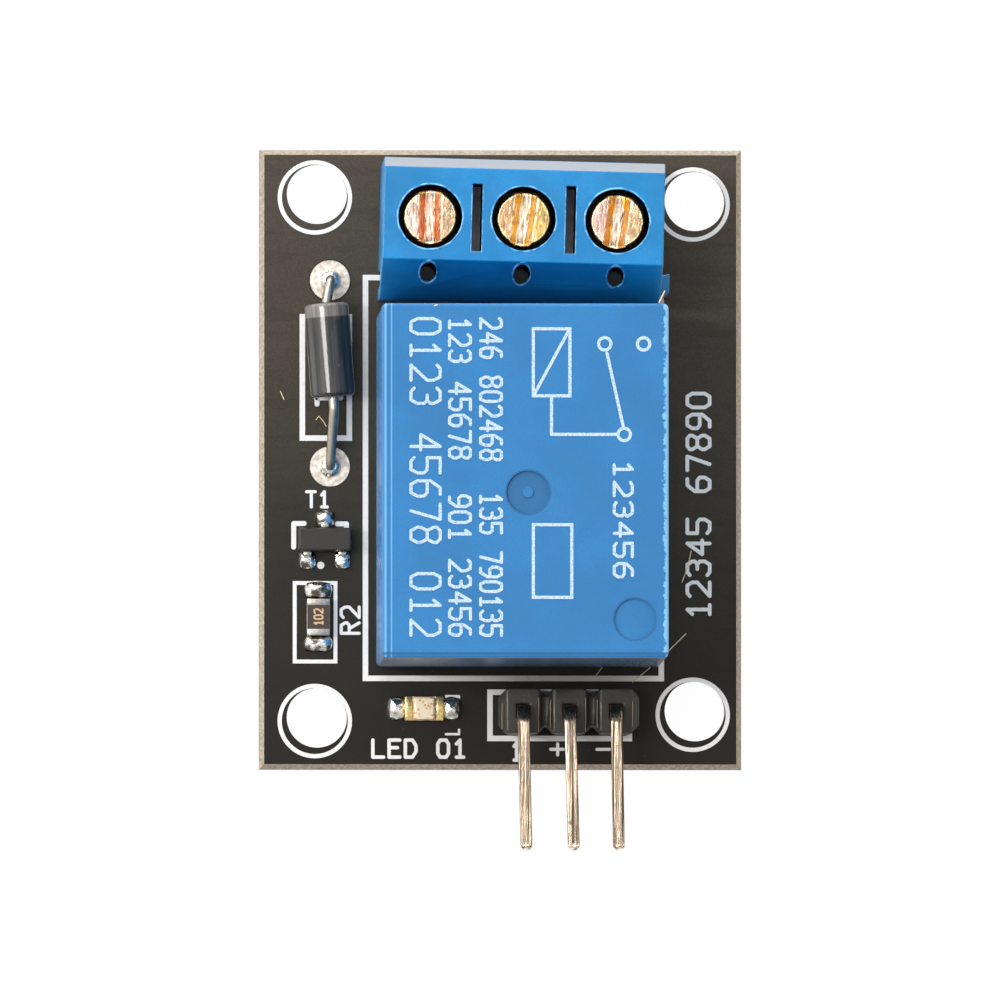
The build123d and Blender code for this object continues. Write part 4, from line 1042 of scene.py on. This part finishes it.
class RELAYMODULE_OT_resistor(bpy.types.Operator):
    """Coat the chip resistor and tin its ends"""

    bl_idname = "relay_module.resistor"
    bl_label = "Chip resistor"

    def execute(self, context):
        glass = Finish("resistor_glaze", srgb(58, 48, 38), 0.35)
        up = glass.axes(glass.place.outputs["Normal"])["Z"]
        top = glass.spread(up, 0.7, 0.9)
        glass.paint(glass.blend(top, srgb(206, 202, 194), srgb(58, 47, 36)))
        glass.relief(glass.noise(7, 3), 0.01)
        softened_piece("resistor_chip", "resistor_body", 0.03, glass.material)
        tin = metal_finish("resistor_tin", srgb(190, 184, 176), 0.34)
        softened_piece("resistor_ends", "resistor_terminals", 0.03, tin)
        ink = ink_finish("resistor_ink", srgb(206, 170, 130))
        top_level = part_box("resistor_body")[1].z / MM
        code = bmesh.new()
        lettering(code, "102", -10.23, -8.83, top_level, 0.95, 0.55, 90, 0.09)
        flat_piece("resistor_code", code, 0.01, ink)
        return {"FINISHED"}


class RELAYMODULE_OT_lamp(bpy.types.Operator):
    """Cast the chip lamp's milky lens over its gilded carrier"""

    bl_idname = "relay_module.lamp"
    bl_label = "Chip lamp"

    def execute(self, context):
        milky = srgb(240, 222, 194)
        lens = Finish("lamp_resin", milky, 0.25, Coat_Weight=0.3)
        gold = lens.spread(lens.cells(5), 0.26, 0.42, 1.0, 0.0)
        patch = lens.times(gold, lens.mottle((1.6, 2), 0.4, 0.5))
        lens.paint(lens.blend(patch, milky, srgb(206, 150, 70)))
        softened_piece("lamp_lens", "led_lens", 0.1, lens.material)
        carrier = Finish("lamp_laminate", srgb(226, 208, 166), 0.4)
        gilding = carrier.mottle((2.6, 3), 0.45, 0.52)
        carrier.paint(carrier.blend(gilding, srgb(226, 150, 44), srgb(240, 230, 206)))
        softened_piece("lamp_carrier", "led_carrier", 0.02, carrier.material)
        tin = metal_finish("lamp_tin", srgb(255, 224, 160), 0.2)
        softened_piece("lamp_ends", "led_terminals", 0.02, tin)
        return {"FINISHED"}


class RELAYMODULE_OT_solder(bpy.types.Operator):
    """Flow solder on the pads of both faces"""

    bl_idname = "relay_module.solder"
    bl_label = "Solder"

    def execute(self, context):
        tin = solder_finish("bright_solder")
        for name, places, pad, pin, upper in (
            ("terminal", [on_terminal(offset, 0) for offset in POLES], 1.15, 0.5, ()),
            ("relay", RELAY_PINS, 1.15, 0.45, ()),
            ("header", HEADER_PINS, 0.85, 0.36, ()),
            ("diode", DIODE_PADS, PAD_RADIUS, 0.3, DIODE_MOUND),
        ):
            joints = bmesh.new()
            for x, y in places:
                self.hidden_joint(joints, x, y, pad, pin)
                if upper:
                    lathe(joints, upper, x, y, 32)
            node = f"solder_{name}"
            add_piece(f"{name}_joints", joints, tin, replaces=(node,), smooth=50)
        self.add_diode_pads()
        # Joints under the transistor and resistor get more flux, partly a real stain and partly a painted
        # dark reflection, as their sides mirror the dark board.
        stained = solder_finish("flux_and_painted_shade_solder", 0.9)
        for name, node, metal, lumps in (
            ("transistor_joints", "solder_transistor", stained, TRANSISTOR_LUMPS),
            ("resistor_joints", "solder_resistor", stained, RESISTOR_LUMPS),
            ("lamp_joints", "solder_led", tin, LAMP_LUMPS),
        ):
            chips = bmesh.new()
            for x, y, *size_and_seed in lumps:
                blob(chips, x, y, BOARD_TOP, *size_and_seed)
            add_piece(name, chips, metal, replaces=(node,), smooth=60)
        return {"FINISHED"}

    def hidden_joint(self, shape, x, y, pad, pin):
        """Fillet under the board, from its pad down to its pin."""
        run = pad - pin
        profile = [(0, 0), (pad, 0), (pad, -0.05), (pad * 0.86, -0.1), (pin + 0.42 * run, -0.3)]
        profile += [(pin + 0.16 * run, -0.7), (pin + 0.04, -1.05), (0, -1.1)]
        lathe(shape, profile, x, y, 24)

    def add_diode_pads(self):
        """Tinned rings round the diode's leads, each with a thin dark ring of painted shadow round it on
        the mask.
        """
        pads = bmesh.new()
        pad_shadows = bmesh.new()
        for x, y in DIODE_PADS:
            lathe(pads, DIODE_PAD, x, y, 48)
            # Painted shadow: a thin dark ring on the mask just outside each pad.
            ring(pad_shadows, x, y, 1.603, PAD_RADIUS, 1.17)
        pad_tin = metal_finish("pad_tin", srgb(236, 224, 210), 0.55, (1, 1, 1), 0, 3)
        add_piece("diode_pad_rings", pads, pad_tin, smooth=50)
        flat_piece("diode_pad_painted_shadows", pad_shadows, 0.004, ink_finish("pad_painted_shadow", srgb(18, 16, 14)))


class RELAYMODULE_OT_dust(bpy.types.Operator):
    """Lay the loose fibres"""

    bl_idname = "relay_module.dust"
    bl_label = "Dust"

    def execute(self, context):
        pale = Finish("fibres", srgb(216, 196, 158), 0.7)
        for name, slot, level, width, lines in (
            ("board_fibres", "board", BOARD_TOP + 0.03, 0.045, BOARD_FIBRES),
            ("relay_fibres", "relay_cover", RELAY_TOP + 0.004, 0.07, RELAY_FIBRES),
        ):
            fibres = bmesh.new()
            for points in lines:
                stroke(fibres, points, level, width)
            flat_piece(name, fibres, 0.03, pale.material)
        return {"FINISHED"}


class RELAYMODULE_OT_stage(bpy.types.Operator):
    """Set the pale floor, soft light and camera"""

    bl_idname = "relay_module.stage"
    bl_label = "Stage"

    def execute(self, context):
        settings = context.scene.relay_studio
        scene = context.scene
        floor_shape = bmesh.new()
        bmesh.ops.create_grid(floor_shape, x_segments=1, y_segments=1, size=FLOOR_REACH)
        bmesh.ops.translate(floor_shape, verts=floor_shape.verts, vec=(0, 0, settings.floor_level))
        bmesh.ops.scale(floor_shape, vec=(MM, MM, MM), verts=floor_shape.verts)
        mesh = bpy.data.meshes.new("studio_floor")
        floor_shape.to_mesh(mesh)
        floor_shape.free()
        floor = bpy.data.objects.new("studio_floor", mesh)
        scene.collection.objects.link(floor)
        use(floor, self.floor_material())
        self.light_world(scene)
        self.add_lamp("overhead_softbox", (-140, 330, 360), (0, 0, 0), (360, 300), settings.key_power)
        self.add_lamp("horizon_softbox", (0, 420, 60), (0, 12, 8), (600, 160), settings.horizon_power)
        self.add_lamp("strip_softbox", (-310, 40, 370), (-10, 0, 0), (62, 420), settings.strip_power)
        self.add_camera(scene, settings)
        scene.view_settings.view_transform = "Standard"
        return {"FINISHED"}

    def floor_material(self):
        """White floor that the camera sees as nearly even light."""
        finish = Finish("white_floor", (0.9, 0.9, 0.9), 0.9)
        path = finish.node("ShaderNodeLightPath")
        glow = finish.node("ShaderNodeEmission")
        glow.inputs["Strength"].default_value = 1.04
        both = finish.node("ShaderNodeMixShader")
        output = next(n for n in finish.tree.nodes if n.type == "OUTPUT_MATERIAL")
        seen = finish.times(path.outputs["Is Camera Ray"], 0.93)
        finish.feed(both.inputs["Fac"], seen)
        finish.feed(both.inputs[1], finish.shader.outputs["BSDF"])
        finish.feed(both.inputs[2], glow.outputs["Emission"])
        finish.feed(output.inputs["Surface"], both.outputs["Shader"])
        return finish.material

    def light_world(self, scene):
        """Sky that is brighter behind the board, and even where the camera sees it."""
        world = bpy.data.worlds.new("studio_sky")
        world.use_nodes = True
        tree = world.node_tree
        tree.nodes.clear()
        place = tree.nodes.new("ShaderNodeTexCoord")
        axes = tree.nodes.new("ShaderNodeSeparateXYZ")
        fade = tree.nodes.new("ShaderNodeMapRange")
        for name, value in (("From Min", -0.9), ("From Max", 0.9), ("To Min", 0.45), ("To Max", 1.15)):
            fade.inputs[name].default_value = value
        path = tree.nodes.new("ShaderNodeLightPath")
        strength = tree.nodes.new("ShaderNodeMix")
        strength.inputs["B"].default_value = 1.0
        sky = tree.nodes.new("ShaderNodeBackground")
        sky.inputs["Color"].default_value = (1.0, 0.99, 0.97, 1.0)
        output = tree.nodes.new("ShaderNodeOutputWorld")
        for start, end in (
            (place.outputs["Generated"], axes.inputs["Vector"]),
            (axes.outputs["Y"], fade.inputs["Value"]),
            (path.outputs["Is Camera Ray"], strength.inputs["Factor"]),
            (fade.outputs["Result"], strength.inputs["A"]),
            (strength.outputs["Result"], sky.inputs["Strength"]),
            (sky.outputs["Background"], output.inputs["Surface"]),
        ):
            tree.links.new(start, end)
        scene.world = world

    def add_lamp(self, name, place, aim, size, power):
        light = bpy.data.lights.new(name, "AREA")
        light.shape = "RECTANGLE"
        light.size = size[0] * MM
        light.size_y = size[1] * MM
        light.energy = power
        lamp = bpy.data.objects.new(name, light)
        lamp.location = Vector(place) * MM
        lamp.rotation_euler = (Vector(aim) - Vector(place)).to_track_quat("-Z", "Y").to_euler()
        bpy.context.scene.collection.objects.link(lamp)

    def add_camera(self, scene, settings):
        """Camera almost straight overhead, with the board's +Y up in the picture."""
        toward = Vector(CAMERA_DIRECTION).normalized()
        camera = bpy.data.cameras.new("photo_camera")
        camera.lens = settings.lens
        camera.sensor_width = 36
        camera.clip_start = 0.1
        camera.clip_end = 5
        holder = bpy.data.objects.new("photo_camera", camera)
        across = Vector((0, 1, 0)).cross(toward).normalized()
        turned = Matrix((across, toward.cross(across), toward)).transposed().to_4x4()
        place = Vector(CAMERA_TARGET) * MM + toward * CAMERA_DISTANCE
        holder.matrix_world = Matrix.Translation(place) @ turned
        scene.collection.objects.link(holder)
        scene.camera = holder


STEPS = (
    RELAYMODULE_OT_stage,
    RELAYMODULE_OT_board,
    RELAYMODULE_OT_board_print,
    RELAYMODULE_OT_terminal,
    RELAYMODULE_OT_terminal_screws,
    RELAYMODULE_OT_terminal_inside,
    RELAYMODULE_OT_relay_cover,
    RELAYMODULE_OT_relay_print,
    RELAYMODULE_OT_relay_inside,
    RELAYMODULE_OT_header,
    RELAYMODULE_OT_diode,
    RELAYMODULE_OT_transistor,
    RELAYMODULE_OT_resistor,
    RELAYMODULE_OT_lamp,
    RELAYMODULE_OT_solder,
    RELAYMODULE_OT_dust,
)


class RELAYMODULE_PT_panel(bpy.types.Panel):
    """Lists the relay module's settings and steps"""

    bl_idname = "RELAYMODULE_PT_panel"
    bl_label = "Relay module"
    bl_space_type = "VIEW_3D"
    bl_region_type = "UI"
    bl_category = "Relay module"

    def draw(self, context):
        for group in (context.scene.relay_board, context.scene.relay_plastic, context.scene.relay_studio):
            for name in group.bl_rna.properties.keys():
                if name not in ("rna_type", "name"):
                    self.layout.prop(group, name)
        for step in STEPS:
            self.layout.operator(step.bl_idname)


CLASSES = (BoardFinish, PlasticFinish, StudioSettings) + STEPS + (RELAYMODULE_PT_panel,)


def register():
    for item in CLASSES:
        bpy.utils.register_class(item)
    bpy.types.Scene.relay_board = PointerProperty(type=BoardFinish)
    bpy.types.Scene.relay_plastic = PointerProperty(type=PlasticFinish)
    bpy.types.Scene.relay_studio = PointerProperty(type=StudioSettings)


def unregister():
    del bpy.types.Scene.relay_studio
    del bpy.types.Scene.relay_plastic
    del bpy.types.Scene.relay_board
    for item in reversed(CLASSES):
        bpy.utils.unregister_class(item)


def main():
    """Run every step."""
    register()
    for step in STEPS:
        group, name = step.bl_idname.split(".")
        getattr(getattr(bpy.ops, group), name)()


if __name__ == "__main__":
    main()
